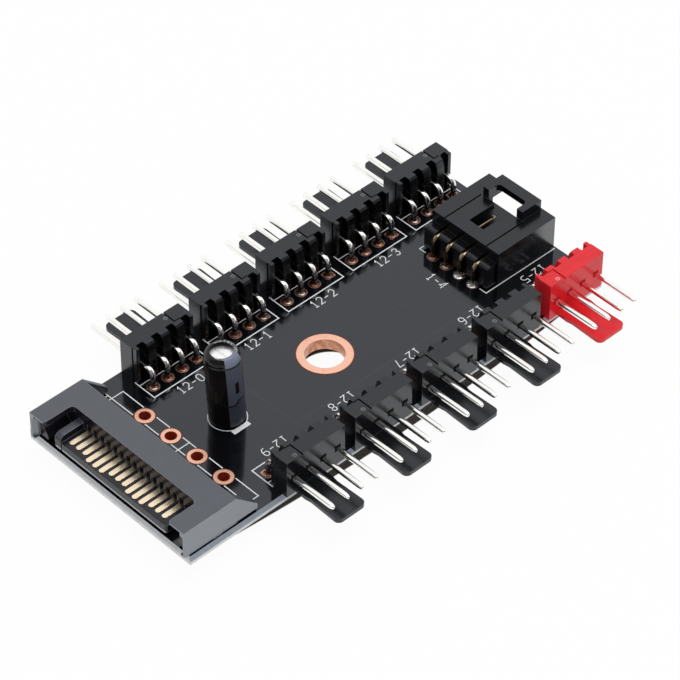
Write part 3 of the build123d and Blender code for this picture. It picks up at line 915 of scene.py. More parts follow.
class Form:
    """A mesh under construction, in the hub's frame."""

    def __init__(self) -> None:
        """Start empty."""
        self.mesh = bmesh.new()

    def loft(self, rings: Sequence[Sequence[Sequence[float]]], closed_ends: bool = True) -> None:
        """Join rings of equal length by quads.

        Args:
            rings: Rings of points, in order.
            closed_ends: Whether the first and last ring are filled.
        """
        made = [[self.mesh.verts.new(Vector(p) * MM) for p in ring] for ring in rings]
        count = len(made[0])
        for lower, upper in zip(made, made[1:]):
            for i in range(count):
                j = (i + 1) % count
                self.mesh.faces.new((lower[i], lower[j], upper[j], upper[i]))
        if closed_ends:
            self.mesh.faces.new(made[0][::-1])
            self.mesh.faces.new(made[-1])

    def slab(self, outline: Sequence[Point], z0: float, z1: float, shrink: float = 0.0) -> None:
        """A flat plate with an optional narrow bevel around its top.

        Args:
            outline: Corner points, counter-clockwise.
            z0: Lower height.
            z1: Upper height.
            shrink: Width and drop of the bevel.
        """
        rings = [[(x, y, z0) for x, y in outline], [(x, y, z1 - shrink) for x, y in outline]]
        if shrink:
            rings.append([(x, y, z1) for x, y in inset(outline, shrink)])
        self.loft(rings)

    def line(self, points: Sequence[Point], width: float, z0: float, z1: float,
             closed: bool = False) -> None:
        """A printed line with mitred corners.

        Args:
            points: Its centre line.
            width: Its width.
            z0: Lower height.
            z1: Upper height.
            closed: Whether the last point joins the first.
        """
        pairs = []
        count = len(points)
        for i, point in enumerate(points):
            before = points[i - 1] if i or closed else None
            after = points[(i + 1) % count] if i + 1 < count or closed else None
            offset = mitre(before, point, after) * (width / 2)
            pairs.append(((point[0] + offset.x, point[1] + offset.y),
                          (point[0] - offset.x, point[1] - offset.y)))
        following = pairs[1:] + pairs[:1] if closed else pairs[1:]
        for (a, b), (c, d) in zip(pairs, following):
            self.slab([a, b, d, c], z0, z1)

    def turn(self, profile: Sequence[Point], centre: Sequence[float] = (0, 0, 0),
             segments: int = FILLET_SEGMENTS) -> None:
        """A surface turned about a vertical axis.

        Args:
            profile: (radius, height) points.
            centre: The axis's foot.
            segments: Steps around.
        """
        x, y, z = centre
        turns = [2 * pi * i / segments for i in range(segments)]
        self.loft([[(x + radius * cos(turn), y + radius * sin(turn), z + height)
                    for turn in turns] for radius, height in profile], closed_ends=False)

    def land(self, x: float, y: float, outer: float, inner: float, z0: float, z1: float) -> None:
        """A flat ring with a soft upper rim.

        Args:
            x: Centre.
            y: Centre.
            outer: Outer radius.
            inner: Hole radius.
            z0: Lower height.
            z1: Upper height.
        """
        soft = min(0.02, (outer - inner) / 4)
        self.turn([(inner, z0), (inner, z1), (outer - soft, z1), (outer, z0)], (x, y, 0),
                  LAND_SEGMENTS)

    def square_land(self, x: float, y: float, half: float, hole: float, z0: float,
                    z1: float) -> None:
        """A square land with a round hole.

        Args:
            x: Centre.
            y: Centre.
            half: Half its width.
            hole: Hole radius.
            z0: Lower height.
            z1: Upper height.
        """
        inner, outer = [], []
        for i in range(SQUARE_SEGMENTS):
            angle = 2 * pi * (i + 0.5) / SQUARE_SEGMENTS
            c, s = cos(angle), sin(angle)
            stretch = half / max(abs(c), abs(s))
            inner.append((x + hole * c, y + hole * s))
            outer.append((x + stretch * c, y + stretch * s))
        self.loft([[(*p, z) for p in ring] for ring, z in
                   ((inner, z0), (inner, z1), (outer, z1), (outer, z0))], closed_ends=False)

    def fillet(self, foot: Sequence[float], wide: float, narrow: float, height: float) -> None:
        """A concave solder fillet around a pin.

        Args:
            foot: Its centre on the land.
            wide: Radius at the land.
            narrow: Radius where it ends on the pin.
            height: Height on the pin; one below zero hangs under the board.
        """
        turns = [radians(90 * i / FILLET_STEPS) for i in range(FILLET_STEPS + 1)]
        self.turn([(narrow + (wide - narrow) * (1 - sin(turn)), height * (1 - cos(turn)))
                   for turn in turns], foot)

    def piece(self, name: str, finish: Finish, slot: Slot,
              smooth_angle: float = 35.0) -> bpy.types.Object:
        """Turn the mesh into a named piece of the hub.

        Args:
            name: The piece's name.
            finish: What it is made of.
            slot: Not used.
            smooth_angle: Edges sharper than this stay sharp, in degrees.

        Returns:
            The new object, riding on the hub.
        """
        bmesh.ops.remove_doubles(self.mesh, verts=self.mesh.verts, dist=1e-8)
        bmesh.ops.recalc_face_normals(self.mesh, faces=self.mesh.faces)
        data = bpy.data.meshes.new(name)
        self.mesh.to_mesh(data)
        self.mesh.free()
        data.shade_smooth()
        data.set_sharp_from_angle(angle=radians(smooth_angle))
        made = bpy.data.objects.new(name, data)
        bpy.context.scene.collection.objects.link(made)
        finish.dress(made)
        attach(made, ROOT)
        log.info("piece %s: %d faces", name, len(data.polygons))
        return made


@dataclass(frozen=True)
class Lettering:
    """Plain stroke-drawn digits, as a board's print has them."""

    height: float = 1.35
    width: float = 0.72
    pitch: float = 1.12
    stroke: float = 0.13
    layer: float = 0.001

    STROKES = {
        "0": [[(0.25, 0), (0.75, 0), (1, 0.2), (1, 0.8), (0.75, 1), (0.25, 1), (0, 0.8),
               (0, 0.2), (0.25, 0)]],
        "1": [[(0.15, 0.78), (0.5, 1), (0.5, 0)], [(0.15, 0), (0.85, 0)]],
        "2": [[(0, 0.8), (0.25, 1), (0.75, 1), (1, 0.8), (1, 0.6), (0, 0), (1, 0)]],
        "3": [[(0, 0.85), (0.25, 1), (0.75, 1), (1, 0.8), (0.75, 0.55), (0.4, 0.55)],
              [(0.75, 0.55), (1, 0.3), (0.75, 0), (0.25, 0), (0, 0.15)]],
        "4": [[(0.8, 0), (0.8, 1), (0, 0.3), (1, 0.3)]],
        "5": [[(1, 1), (0, 1), (0, 0.58), (0.7, 0.58), (1, 0.38), (1, 0.18), (0.7, 0), (0, 0)]],
        "6": [[(0.9, 1), (0.35, 1), (0, 0.6), (0, 0.2), (0.25, 0), (0.75, 0), (1, 0.2),
               (1, 0.4), (0.75, 0.55), (0.1, 0.55)]],
        "7": [[(0, 1), (1, 1), (0.4, 0)]],
        "8": [[(0.25, 0.53), (0, 0.75), (0.25, 1), (0.75, 1), (1, 0.75), (0.75, 0.53),
               (0.25, 0.53), (0, 0.27), (0.25, 0), (0.75, 0), (1, 0.27), (0.75, 0.53)]],
        "9": [[(0.1, 0), (0.65, 0), (1, 0.4), (1, 0.8), (0.75, 1), (0.25, 1), (0, 0.8),
               (0, 0.6), (0.25, 0.45), (0.9, 0.45)]],
        "-": [[(0.05, 0.5), (0.95, 0.5)]],
    }

    def write(self, form: Form, text: str, centre: Point, turn: float, z0: float,
              z1: float) -> None:
        """Draw digits centred on a point.

        Args:
            form: Mesh to draw into.
            text: Digits and dashes.
            centre: Middle of the text.
            turn: Reading direction from +X, in degrees.
            z0: Lower height.
            z1: Upper height.
        """
        x, y = centre
        c, s = cos(radians(turn)), sin(radians(turn))
        start = -((len(text) - 1) * self.pitch + self.width) / 2
        for i, letter in enumerate(text):
            for number, stroke in enumerate(self.STROKES[letter]):
                points = []
                for u, v in stroke:
                    right = start + i * self.pitch + u * self.width
                    up = (v - 0.5) * self.height
                    points.append((x + right * c - up * s, y + right * s + up * c))
                form.line(points, self.stroke, z0, z1 + self.layer * number)


@dataclass(frozen=True)
class BentPin:
    """A square wire pin: tail through the board, round bend, free end with a coined tip."""

    side: float
    reach: float
    height: float
    corner: float = 0.07
    radius: float = 1.0
    bottom: float = -2.6
    bend_steps: int = 8
    tail: tuple[Point, ...] = ((0.0, 0.55), (0.25, 1.0))
    tip: tuple[Point, ...] = ((0.95, 1.0), (0.7, 0.98), (0.42, 0.9), (0.2, 0.76), (0.07, 0.58),
                              (0.0, 0.4))

    def stations(self) -> list[tuple[Point, Point, float]]:
        """Stations along the pin, from its tail to its tip.

        Returns:
            (forward, up) centre, the section's upright direction and its scale at each.
        """
        made = [((0.0, self.bottom + rise), (1.0, 0.0), scale) for rise, scale in self.tail]
        for i in range(self.bend_steps + 1):
            turn = radians(90 * i / self.bend_steps)
            centre = (self.radius - self.radius * cos(turn),
                      self.height - self.radius + self.radius * sin(turn))
            made.append((centre, (cos(turn), -sin(turn)), 1.0))
        made += [((self.reach - back, self.height), (0.0, -1.0), scale)
                 for back, scale in self.tip]
        return made

    def section(self, scale: float) -> list[Point]:
        """Outline of the wire with its corners eased.

        Args:
            scale: Share of the full width.

        Returns:
            Eight points, counter-clockwise.
        """
        h = self.side * scale / 2
        k = h - self.corner * scale
        return [(h, -k), (h, k), (k, h), (-k, h), (-h, k), (-h, -k), (-k, -h), (k, -h)]

    def draw(self, form: Form, where: Callable[[float, float, float], Place]) -> None:
        """Draw the pin.

        Args:
            form: Mesh to draw into.
            where: Puts a point of the pin (sideways, forward, up) into the hub's frame.
        """
        form.loft([[where(a, y + b * up[0], z + b * up[1]) for a, b in self.section(scale)]
                   for (y, z), up, scale in self.stations()])


@dataclass(frozen=True)
class HeaderPlace:
    """Where one fan header stands."""

    number: int
    x: float
    row: Row
    red_number = 5

    @property
    def look(self) -> HeaderLook:
        """The header's finishes."""
        return RED_LOOK if self.number == self.red_number else BLACK_LOOK

    def at(self, x: float, y: float, z: float = 0.0) -> Place:
        """A point of the header's own frame, put on the board."""
        side = self.row.value
        return (self.x + side * x, side * (FanHeaders.pin_row + y), BOARD_TOP + z)


@dataclass
class FanHeaders:
    """The ten fan headers: bodies dressed, pins, lands and solder made finely.

    gate_far and gate_near place the gate mark beside the moulded line in each row; gate_ring is
    its profile. line_turn is the span of the moulded line's turn, where a dark strip is painted as
    the shade of its step. Each pin's dark frame, painted shade of the pocket around its exit, is
    given by half width, bottom and top around the pin, and each relief by how deep and how high
    the painted patch lies.
    """

    pin_row = 11.0
    count: int = 5
    spacing: float = 12.0
    far_start: float = -16.8
    near_start: float = -16.6
    pins: int = 4
    pitch: float = 2.54
    pin: BentPin = BentPin(side=0.64, reach=12.2, height=2.75)
    land_radius: float = 0.93
    square_land: float = 0.8
    hole_radius: float = 0.5
    land_thickness: float = 0.035
    fillet_radius: float = 0.72
    fillet_height: float = 0.34
    fillet_top: float = 0.36
    cone_top: float = 0.34
    cone_height: float = 1.0
    half_width: float = 5.08
    height: float = 6.0
    front: float = 4.85
    wall: float = 2.3
    pin_one_width: float = 2.7
    gate_far: Point = (-0.5, 3.75)
    gate_near: Point = (0.85, 4.3)
    gate_ring: tuple[Point, ...] = ((0.34, -0.01), (0.33, 0.02), (0.28, 0.045), (0.21, 0.04),
                                    (0.15, 0.005), (0.12, -0.01))
    gate_segments: int = 28
    line_turn: Point = (-0.12, 0.95)
    line_half: float = 0.1
    line_relief: Point = (-0.01, 0.004)
    pocket_outer: Place = (0.52, -0.46, 0.6)
    pocket_inner: Place = (0.33, -0.33, 0.33)
    pocket_relief: Point = (-0.01, 0.006)
    seed: int = 17

    def places(self) -> list[HeaderPlace]:
        """The headers in order, the far row first.

        Returns:
            Each header's number, centre and row.
        """
        last = 2 * self.count - 1
        far = [HeaderPlace(k, self.far_start + self.spacing * k, Row.FAR)
               for k in range(self.count)]
        near = [HeaderPlace(last - k, self.near_start + self.spacing * k, Row.NEAR)
                for k in range(self.count)]
        return far + near

    def build(self) -> None:
        """Dress the bodies and make what is finer than the solids."""
        for place in self.places():
            place.look.body.dress_nodes(f"fan_header_{place.number}")
            self.pin_set(place)
            self.lands(place)
            self.solder(place)
            self.gate_mark(place)
            self.shade_patches(place)

    def pin_set(self, place: HeaderPlace) -> None:
        """Four square pins with eased corners, a round bend and coined tips.

        Args:
            place: The header they belong to.
        """
        form = Form()
        for offset in centred(self.pins, self.pitch):
            self.pin.draw(form, lambda x, y, z: place.at(offset + x, y, z))
        made = form.piece(f"fan_pin_set_{place.number}", TIN, Slot.PIN, CRISP_ANGLE)
        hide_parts(f"fan_pins_{place.number}")

    def lands(self, place: HeaderPlace) -> None:
        """Copper lands on both faces, square at pin 1.

        Args:
            place: The header they belong to.
        """
        form = Form()
        for i, offset in enumerate(centred(self.pins, self.pitch)):
            x, y, _ = place.at(offset, 0.0)
            square = i == self.pins - 1
            draw, size = ((form.square_land, self.square_land) if square
                          else (form.land, self.land_radius))
            draw(x, y, size, self.hole_radius, BOARD_TOP, BOARD_TOP + self.land_thickness)
            draw(x, y, size, self.hole_radius, -self.land_thickness, 0.0)
        form.piece(f"fan_lands_{place.number}", LAND_COPPER, Slot.COPPER)

    def solder(self, place: HeaderPlace) -> None:
        """A low solder fillet above each land and a taller one below.

        Args:
            place: The header they belong to.
        """
        chance = random.Random(place.number + self.seed)
        form = Form()
        for offset in centred(self.pins, self.pitch):
            x, y, _ = place.at(offset, 0.0)
            top = self.fillet_height * chance.uniform(0.7, 1.3)
            wide = self.fillet_radius * chance.uniform(0.9, 1.08)
            form.fillet((x, y, BOARD_TOP + self.land_thickness), wide, self.fillet_top, top)
            form.fillet((x, y, -self.land_thickness), self.land_radius * 0.96, self.cone_top,
                        -self.cone_height)
        form.piece(f"fan_solder_{place.number}", SOLDER, Slot.COPPER, SOFT_ANGLE)

    def gate_mark(self, place: HeaderPlace) -> None:
        """The moulding's gate mark: a small scuffed ring beside the moulded line.

        Args:
            place: The header it is on.
        """
        form = Form()
        line = self.half_width - self.pin_one_width
        beside, y = self.gate_far if place.row is Row.FAR else self.gate_near
        form.turn(self.gate_ring, place.at(line + beside, y, self.height), self.gate_segments)
        form.piece(f"gate_mark_{place.number}", place.look.scuffed, place.look.slot, CRISP_ANGLE)

    def shade_patches(self, place: HeaderPlace) -> None:
        """Painted shade: a dark strip at the moulded line's turn on the top, and a dark frame for
        the pocket around each pin's exit.

        Args:
            place: The header they are on.
        """
        form = Form()
        line = self.half_width - self.pin_one_width
        rear = self.front - self.wall
        (start, end), side = self.line_turn, self.line_half
        corners = [place.at(line + x, rear + y)[:2]
                   for x, y in ((start, -side), (end, -side), (end, side), (start, side))]
        top = BOARD_TOP + self.height
        # Painted shade: a dark strip for the shaded step of the moulded line.
        form.slab(corners, *(top + z for z in self.line_relief))
        # Painted shade: a dark frame around each pin's exit for the pocket's shade.
        low, high = self.pocket_relief
        for offset in centred(self.pins, self.pitch):
            rings = []
            for (half, bottom, ceiling), y in (
                    (self.pocket_outer, low), (self.pocket_outer, high),
                    (self.pocket_inner, high), (self.pocket_inner, low)):
                outline = ((-half, bottom), (half, bottom), (half, ceiling), (-half, ceiling))
                rings.append([place.at(offset + a, self.front + y, self.pin.height + b)
                              for a, b in outline])
            form.loft(rings, closed_ends=False)
        form.piece(f"header_shade_patches_{place.number}", place.look.shade_patch, place.look.slot)


@dataclass
class PrintedBoard:
    """The board's faces: mask, copper rings, covered tracks and white print.

    SPARE_SIDES gives the long lines beside the spare power holes by x, far end and near end,
    SPARE_TICKS the short ones by both x and y. TRACKS gives each track's route and width.
    """

    SPARE_SIDES = ((-24.1, 13.0, -13.1), (-26.05, 14.3, -11.1))
    SPARE_TICKS = ((-24.02, -27.6, 13.0), (-26.0, -27.5, 13.75), (-24.0, -27.4, 0.0),
                   (-24.0, -25.0, -13.1))
    NEAR_BRACKET = ((24.0, -5.07), (24.0, -6.3), (37.3, -6.38))
    FAR_BRACKET = ((23.8, 5.08), (23.8, 6.25), (25.1, 6.25))
    POLARITY_BAR = ((-18.85, -2.6), (-16.0, -2.6))
    TRACKS = ((((-11.9, 2.6), (-11.75, -6.85), (21.3, -7.1)), 0.32),
              (((-17.3, -2.95), (-14.0, -2.3), (-12.1, -1.8)), 0.16),
              (((11.2, 0.0), (12.6, 0.4), (14.2, -0.1), (15.8, -1.1)), 0.16))

    headers: FanHeaders
    lettering: Lettering = Lettering()
    ink_top: float = BOARD_TOP + 0.022
    ink_bottom: float = BOARD_TOP - 0.01
    ink_layer: float = 0.0012
    fine: float = 0.14
    medium: float = 0.16
    bold: float = 0.17
    frame_foot: float = 13.2
    outer_line: float = 9.3
    inner_line: float = 12.28
    number_line: float = 8.0
    number_shift: float = 0.1
    control_number: Point = (20.9, 0.0)
    spare_x: float = -25.04
    spare_count: int = 4
    spare_pitch: float = 5.08
    spare_outer: float = 1.36
    spare_hole: float = 0.8
    spare_thickness: float = 0.04
    spare_gap: float = 1.55
    shortest: float = 0.1
    ring_radius: float = 3.98
    ring_rim: float = 0.18
    rim_top: float = BOARD_TOP + 0.03
    rim_out: float = 0.1
    rim_in: float = 0.03
    hole_rim_out: float = 0.06
    hole_rim_in: float = 0.045
    hole_rim_rise: float = 0.018
    capacitor_ring: float = 2.6
    bar_width: float = 0.74
    bar_layer: float = 0.004
    track_relief: float = 0.01

    def build(self) -> None:
        """Dress the board and print it."""
        BOARD_LAMINATE.dress_nodes("circuit_board")
        COPPER.dress_nodes("mounting_hole_ring")
        BARREL_COPPER.dress_nodes("spare_power_eyelets")
        self.spare_lands()
        self.brown_rims()
        self.header_frames()
        self.spare_frame()
        self.control_marks()
        self.capacitor_marks()
        self.numbers()
        self.covered_tracks()

    def ink(self, form: Form, points: Sequence[Point], width: float, layer: int = 0,
            closed: bool = False) -> None:
        """Print one line.

        Args:
            form: Mesh to draw into.
            points: Its centre line.
            width: Its width.
            layer: Order where lines cross.
            closed: Whether it is a loop.
        """
        form.line(points, width, self.ink_bottom, self.ink_top + self.ink_layer * layer, closed)

    def spare_lands(self) -> None:
        """Rings around the four spare power holes, on both faces."""
        form = Form()
        for y in centred(self.spare_count, self.spare_pitch):
            for low in (BOARD_TOP, -self.spare_thickness):
                form.land(self.spare_x, y, self.spare_outer, self.spare_hole, low,
                          low + self.spare_thickness)
        form.piece("spare_power_lands", COPPER, Slot.COPPER)

    def brown_rims(self) -> None:
        """The oxidised edge of each bare copper ring, where the mask ends."""
        form = Form()
        low = self.ink_bottom
        form.land(0.0, 0.0, self.ring_radius, self.ring_radius - self.ring_rim, low,
                  self.rim_top)
        for y in centred(self.spare_count, self.spare_pitch):
            form.land(self.spare_x, y, self.spare_outer + self.rim_out,
                      self.spare_outer - self.rim_in, low, self.rim_top)
            form.land(self.spare_x, y, self.spare_hole + self.hole_rim_out,
                      self.spare_hole - self.hole_rim_in, self.rim_top,
                      self.rim_top + self.hole_rim_rise)
        form.piece("copper_rims", BROWN_COPPER, Slot.COPPER)

    def header_frames(self) -> None:
        """The box printed around each fan header."""
        for place in self.headers.places():
            form = Form()
            low, high = place.x - self.headers.half_width, place.x + self.headers.half_width
            foot, outer, inner = (place.row.value * y for y in
                                  (self.frame_foot, self.outer_line, self.inner_line))
            self.ink(form, [(low, foot), (low, outer), (high, outer), (high, foot)], self.bold)
            self.ink(form, [(low, inner), (high, inner)], self.fine, 1)
            form.piece(f"header_print_{place.number}", INK, Slot.MASK)

    def spare_frame(self) -> None:
        """The box printed around the spare power holes, broken at each ring."""
        form = Form()
        for x, top, bottom in self.SPARE_SIDES:
            stops = [top]
            reach = max(0.0, self.spare_gap ** 2 - (x - self.spare_x) ** 2) ** 0.5
            for y in reversed(centred(self.spare_count, self.spare_pitch)):
                stops += [y + reach, y - reach]
            stops.append(bottom)
            for start, end in zip(stops[::2], stops[1::2]):
                if start - end > self.shortest:
                    self.ink(form, [(x, start), (x, end)], self.medium)
        for x0, x1, y in self.SPARE_TICKS:
            self.ink(form, [(x0, y), (x1, y)], self.medium, 1)
        form.piece("spare_power_print", INK, Slot.MASK)

    def control_marks(self) -> None:
        """Brackets around the control header."""
        form = Form()
        self.ink(form, self.NEAR_BRACKET, self.bold)
        self.ink(form, self.FAR_BRACKET, self.medium)
        form.piece("control_print", INK, Slot.MASK)

    def capacitor_marks(self) -> None:
        """Ring and polarity bar around the capacitor."""
        form = Form()
        ring = arc(*CAPACITOR_FOOT[:2], self.capacitor_ring, 0, 360, 64)[:-1]
        self.ink(form, ring, self.fine, closed=True)
        form.line(self.POLARITY_BAR, self.bar_width, self.ink_bottom,
                  self.ink_top + self.bar_layer)
        form.piece("capacitor_print", INK, Slot.MASK)

    def numbers(self) -> None:
        """A plain number beside each header."""
        form = Form()
        labels = [(f"12-{place.number}",
                   (place.x + self.number_shift, place.row.value * self.number_line),
                   0.0 if place.row is Row.FAR else 180.0) for place in self.headers.places()]
        for text, centre, turn in labels + [("1-4", self.control_number, -90.0)]:
            self.lettering.write(form, text, centre, turn, self.ink_bottom, self.ink_top)
        form.piece("number_print", INK, Slot.MASK)

    def covered_tracks(self) -> None:
        """Copper tracks that stand up faintly under the mask."""
        form = Form()
        for points, width in self.TRACKS:
            form.line(points, width, BOARD_TOP - self.track_relief,
                      BOARD_TOP + self.track_relief)
        form.piece("covered_tracks", TRACK_MASK, Slot.MASK, 30.0)


@dataclass
class PowerPlug:
    """The drive power plug: shell and fifteen contacts."""

    contacts: int = 15
    pitch: float = 1.27
    foot_start: float = -29.0
    foot_end: float = -27.3
    foot_half: float = 0.36
    solder_height: float = 0.09
    solder_bevel: float = 0.08

    def build(self) -> None:
        """Dress the solids and add the solder of the contacts' feet."""
        PLUG_PLASTIC.dress_nodes("power_plug_shell")
        GOLD.dress_nodes(*(f"power_contact_{i:02d}" for i in range(1, self.contacts + 1)))
        self.foot_solder()

    def foot_solder(self) -> None:
        """Solder around each contact's foot behind the shell."""
        form = Form()
        for y in centred(self.contacts, self.pitch):
            low, high = y - self.foot_half, y + self.foot_half
            outline = [(self.foot_start, low), (self.foot_end, low), (self.foot_end, high),
                       (self.foot_start, high)]
            form.slab(outline, BOARD_TOP, BOARD_TOP + self.solder_height, self.solder_bevel)
        form.piece("power_foot_solder", BRIGHT_SOLDER, Slot.COPPER)


@dataclass
class ControlHeader:
    """The latching control header with its four pins."""

    pin_row: float = 24.0
    pins: int = 4
    pitch: float = 2.54
    pin: BentPin = BentPin(side=0.6, reach=9.3, height=3.3)
    land_radius: float = 0.93
    hole_radius: float = 0.5
    land_thickness: float = 0.035
    fillet_top: float = 0.34
    cone_radius: float = 0.9
    cone_height: float = 1.0

    def build(self) -> None:
        """Dress the moulding, make the pins, lands and solder."""
        SOCKET_PLASTIC.dress_nodes("control_header")
        for i, y in enumerate(centred(self.pins, self.pitch)):
            self.bent_pin(i + 1, y)
        self.lands()
        self.solder()

    def bent_pin(self, number: int, y0: float) -> None:
        """One bent pin.

        Args:
            number: Its number from the near end.
            y0: Its place along Y.
        """
        form = Form()
        self.pin.draw(form, lambda x, y, z: (self.pin_row + y, y0 - x, BOARD_TOP + z))
        made = form.piece(f"control_pin_piece_{number}", BRONZE, Slot.GOLD, CRISP_ANGLE)
        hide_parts(f"control_pin_{number}")

    def lands(self) -> None:
        """Copper lands on both faces."""
        form = Form()
        for y in centred(self.pins, self.pitch):
            for low in (BOARD_TOP, -self.land_thickness):
                form.land(self.pin_row, y, self.land_radius, self.hole_radius, low,
                          low + self.land_thickness)
        form.piece("control_lands", LAND_COPPER, Slot.COPPER)

    def solder(self) -> None:
        """Fillets: full blobs on the two near pins, thin on the far ones."""
        for name, finish, start, wide, high in (
                ("control_solder_thin", SOLDER, 2, 0.7, 0.3),
                ("control_solder_full", BRIGHT_SOLDER, 0, 0.9, 0.75)):
            form = Form()
            for y in centred(self.pins, self.pitch)[start:start + 2]:
                form.fillet((self.pin_row, y, BOARD_TOP + self.land_thickness), wide,
                            self.fillet_top, high)
                form.fillet((self.pin_row, y, -self.land_thickness), self.cone_radius,
                            self.fillet_top, -self.cone_height)
            form.piece(name, finish, Slot.COPPER, SOFT_ANGLE)


@dataclass
class Capacitor:
    """The upright capacitor, leaning a little as it was soldered.

    GROOVED_SIDE gives the film's side by how far in and how high above the base it lies,
    UPPER_SIDE by how far in and how far below the top.
    """

    GROOVED_SIDE = ((0.12, 0.0), (0.02, 0.0), (0.0, 0.15), (0.0, 1.55), (0.02, 1.85),
                    (0.05, 2.05), (0.05, 2.2), (0.02, 2.4), (0.0, 2.6))
    UPPER_SIDE = ((0.0, 1.5), (0.02, 1.25), (0.07, 1.15))

    foot: Place = CAPACITOR_FOOT
    radius: float = 2.5
    lift: float = 0.45
    height: float = 11.0
    mouth: float = 1.55
    rise: float = 0.55
    lean: float = 2.8
    lean_axis: Place = (-0.69, -0.72, 0.0)
    can_top: float = 0.12
    shoulder_drop: float = 1.1
    lip_width: float = 0.06
    lip_bevel: Point = (0.05, 0.03)
    vent_reach: float = 1.2
    vent_gap: float = 0.07
    vent_width: float = 0.06
    lead_offset: float = 1.0

    def build(self) -> None:
        """Dress the hidden solids and replace the sleeve by a finer one."""
        CAN.dress_nodes("capacitor_can")
        BUNG.dress_nodes("capacitor_bung")
        TIN.dress_nodes("capacitor_leads")
        self.sleeve()
        self.vent()
        self.lead_solder()

    def leaning(self, form: Form) -> Form:
        """Move a form from the capacitor's own axis to its place on the board.

        Args:
            form: The form to move.

        Returns:
            The same form.
        """
        turn = Matrix.Rotation(radians(self.lean), 4, Vector(self.lean_axis))
        place = Matrix.Translation(Vector(self.foot) * MM)
        bmesh.ops.transform(form.mesh, matrix=place @ turn, verts=form.mesh.verts)
        return form

    def sleeve(self) -> None:
        """The film: round shoulder, lip over the can, shallow groove above the base."""
        form = Form()
        r, low, top = self.radius, self.lift, self.lift + self.height + self.rise
        profile = [(r - x, low + z) for x, z in self.GROOVED_SIDE]
        profile += [(r - x, top - z) for x, z in self.UPPER_SIDE]
        edge, drop = self.mouth + self.lip_width, self.shoulder_drop
        span = r - self.UPPER_SIDE[-1][0] - edge
        profile += [(edge + x * span, top - drop + z * drop)
                    for x, z in arc(0, 0, 1.0, 6, 84, 9)]
        across, down = self.lip_bevel
        profile += [(self.mouth + across, top), (self.mouth, top - down),
                    (self.mouth, top - self.rise - self.can_top)]
        form.turn(profile, segments=72)
        made = self.leaning(form).piece("capacitor_film_sleeve", SLEEVE, Slot.SLEEVE, SOFT_ANGLE)
        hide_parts("capacitor_sleeve")

    def vent(self) -> None:
        """The can's scored top, as a shallow cross of raised lips."""
        form = Form()
        top = self.lift + self.height - self.can_top
        reach = self.vent_reach
        for side in (-self.vent_gap, self.vent_gap):
            for ends in ([(-reach, side), (reach, side)], [(side, -reach), (side, reach)]):
                form.line(ends, self.vent_width, top - 0.01, top + 0.02)
        self.leaning(form).piece("capacitor_vent", CAN, Slot.CAN)

    def lead_solder(self) -> None:
        """Solder cones around the two leads under the board."""
        form = Form()
        x, y, _ = self.foot
        for dy in (-self.lead_offset, self.lead_offset):
            form.fillet((x, y + dy, 0.0), 0.8, 0.26, -0.8)
        form.piece("capacitor_solder", BRIGHT_SOLDER, Slot.COPPER, SOFT_ANGLE)


@dataclass
class AdhesivePad:
    """The foam pad and its liner under the board."""

    def build(self) -> None:
        """Dress both solids."""
        FOAM.dress_nodes("adhesive_pad")
        LINER.dress_nodes("release_liner")


@dataclass(frozen=True)
class Lamp:
    """One soft box of the studio, in metres and watts."""

    name: str
    place: Place
    aim: Place
    size: Point
    power: float

    def hang(self) -> None:
        """Hang the lamp, turned to what it lights."""
        data = bpy.data.lights.new(self.name, "AREA")
        data.shape = "RECTANGLE"
        data.size, data.size_y = self.size
        data.energy = self.power
        made = bpy.data.objects.new(self.name, data)
        made.location = self.place
        made.rotation_euler = (Vector(self.aim) - Vector(self.place)).to_track_quat(
            "-Z", "Y").to_euler()
        bpy.context.scene.collection.objects.link(made)


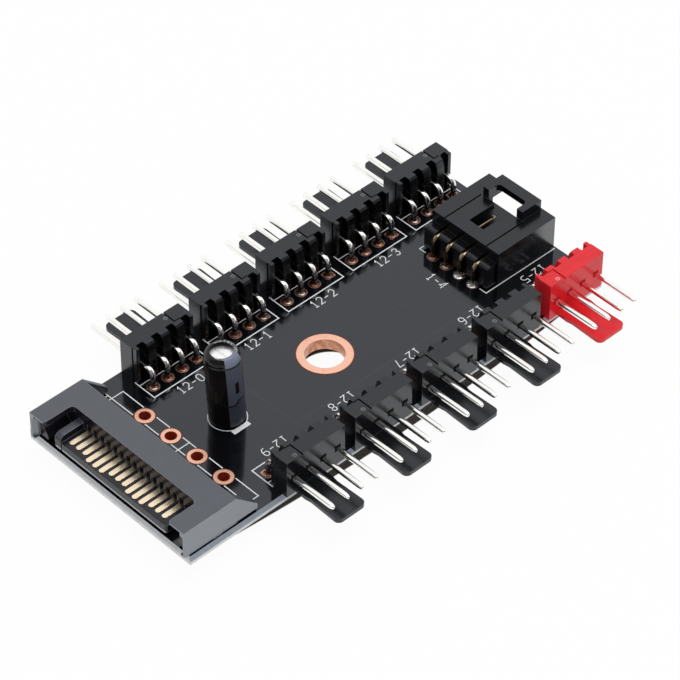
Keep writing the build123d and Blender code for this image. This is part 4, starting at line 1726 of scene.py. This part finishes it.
@dataclass
class Studio:
    """White floor, even light and the photograph's camera.

    floor_size and clip are in metres; dim_towards is the side of the room that mirrors dimly.
    """

    floor_height: float = -2.2
    floor_size: float = 3.0
    floor_white: float = 0.9
    floor_share: float = 0.96
    ambient: float = 0.6
    dim_side: float = 0.3
    dim_towards: Place = (-0.66, -0.69, 0.28)
    azimuth: float = -43.948
    elevation: float = 43.407
    roll: float = 0.399
    distance: float = 456.711
    target: Place = (3.315, 0.593, 1.6)
    focal_pixels: float = 3432.99
    picture_pixels: float = 680.0
    sensor: float = 36.0
    clip: Point = (0.02, 20.0)
    lamp: Lamp = Lamp("overhead_box", (0.3, -0.05, 1.3), (0.0, 0.0, 0.0), (0.9, 0.9), 7.5)

    def build(self) -> None:
        """Set the stage."""
        bpy.context.scene.view_settings.view_transform = "Standard"
        self.floor()
        self.world()
        self.camera()
        self.lamp.hang()

    @staticmethod
    def seen_directly(graph: Graph) -> Signal:
        """One for camera, mirror and see-through rays, else zero."""
        path = graph.node("ShaderNodeLightPath", output="Is Camera Ray")
        return path.most(path.output("Is Glossy Ray")).most(path.output("Is Transmission Ray"))

    def floor(self) -> None:
        """A white sweep that keeps a faint shadow."""
        data = bpy.data.meshes.new("studio_floor")
        half = self.floor_size / 2
        z = self.floor_height * MM
        data.from_pydata([(-half, -half, z), (half, -half, z), (half, half, z), (-half, half, z)],
                         [], [(0, 1, 2, 3)])
        made = bpy.data.objects.new("studio_floor", data)
        bpy.context.scene.collection.objects.link(made)
        material = bpy.data.materials.new("studio_white")
        material.use_nodes = True
        graph = Graph(material.node_tree)
        plain = graph.node("ShaderNodeBsdfDiffuse", {}, {"Color": (self.floor_white,) * 3})
        lit = graph.node("ShaderNodeEmission", {}, {"Color": WHITE, "Strength": 1.0})
        graph.finish(graph.join(self.seen_directly(graph) * self.floor_share, plain, lit))
        data.materials.append(material)

    def world(self) -> None:
        """White surroundings that light the hub at a plain level."""
        world = bpy.data.worlds.new("studio_world")
        world.use_nodes = True
        bpy.context.scene.world = world
        graph = Graph(world.node_tree)
        soft, white, dim = (
            graph.node("ShaderNodeBackground", {}, {"Color": WHITE, "Strength": strength})
            for strength in (self.ambient, 1.0, self.dim_side))
        room = graph.node("ShaderNodeTexCoord", output="Generated")
        front = graph.node("ShaderNodeVectorMath", {"operation": "DOT_PRODUCT"},
                           {0: room, 1: self.dim_towards}, "Value")
        mirrored = graph.node("ShaderNodeLightPath", output="Is Glossy Ray")
        mixed = graph.join(self.seen_directly(graph), soft, white)
        mixed = graph.join(front.ramp(-0.05, 0.4) * mirrored, mixed, dim)
        graph.finish(mixed, "ShaderNodeOutputWorld")

    def camera(self) -> None:
        """The camera fitted to the photograph."""
        a, e, r = radians(self.azimuth), radians(self.elevation), radians(self.roll)
        back = Vector((sin(a) * cos(e), -cos(a) * cos(e), sin(e)))
        right = (-back).cross(Vector((0, 0, 1))).normalized()
        down = (-back).cross(right)
        rolled_right = cos(r) * right - sin(r) * down
        rolled_down = sin(r) * right + cos(r) * down
        data = bpy.data.cameras.new("photo_camera")
        data.sensor_width = self.sensor
        data.lens = self.focal_pixels * self.sensor / self.picture_pixels
        data.clip_start, data.clip_end = self.clip
        made = bpy.data.objects.new("photo_camera", data)
        turn = Matrix((rolled_right, -rolled_down, back)).transposed().to_4x4()
        place = Matrix.Translation((Vector(self.target) + back * self.distance) * MM)
        made.matrix_world = place @ turn
        bpy.context.scene.collection.objects.link(made)
        bpy.context.scene.camera = made


def main() -> None:
    """Build every sub-assembly in order."""
    logging.basicConfig(level=logging.INFO, format="%(name)s: %(message)s")
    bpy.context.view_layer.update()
    headers = FanHeaders()
    for assembly in (Studio(), PrintedBoard(headers), headers, PowerPlug(), ControlHeader(),
                     Capacitor(), AdhesivePad()):
        assembly.build()
        log.info("built %s", type(assembly).__name__)


if __name__ == "__main__":
    main()
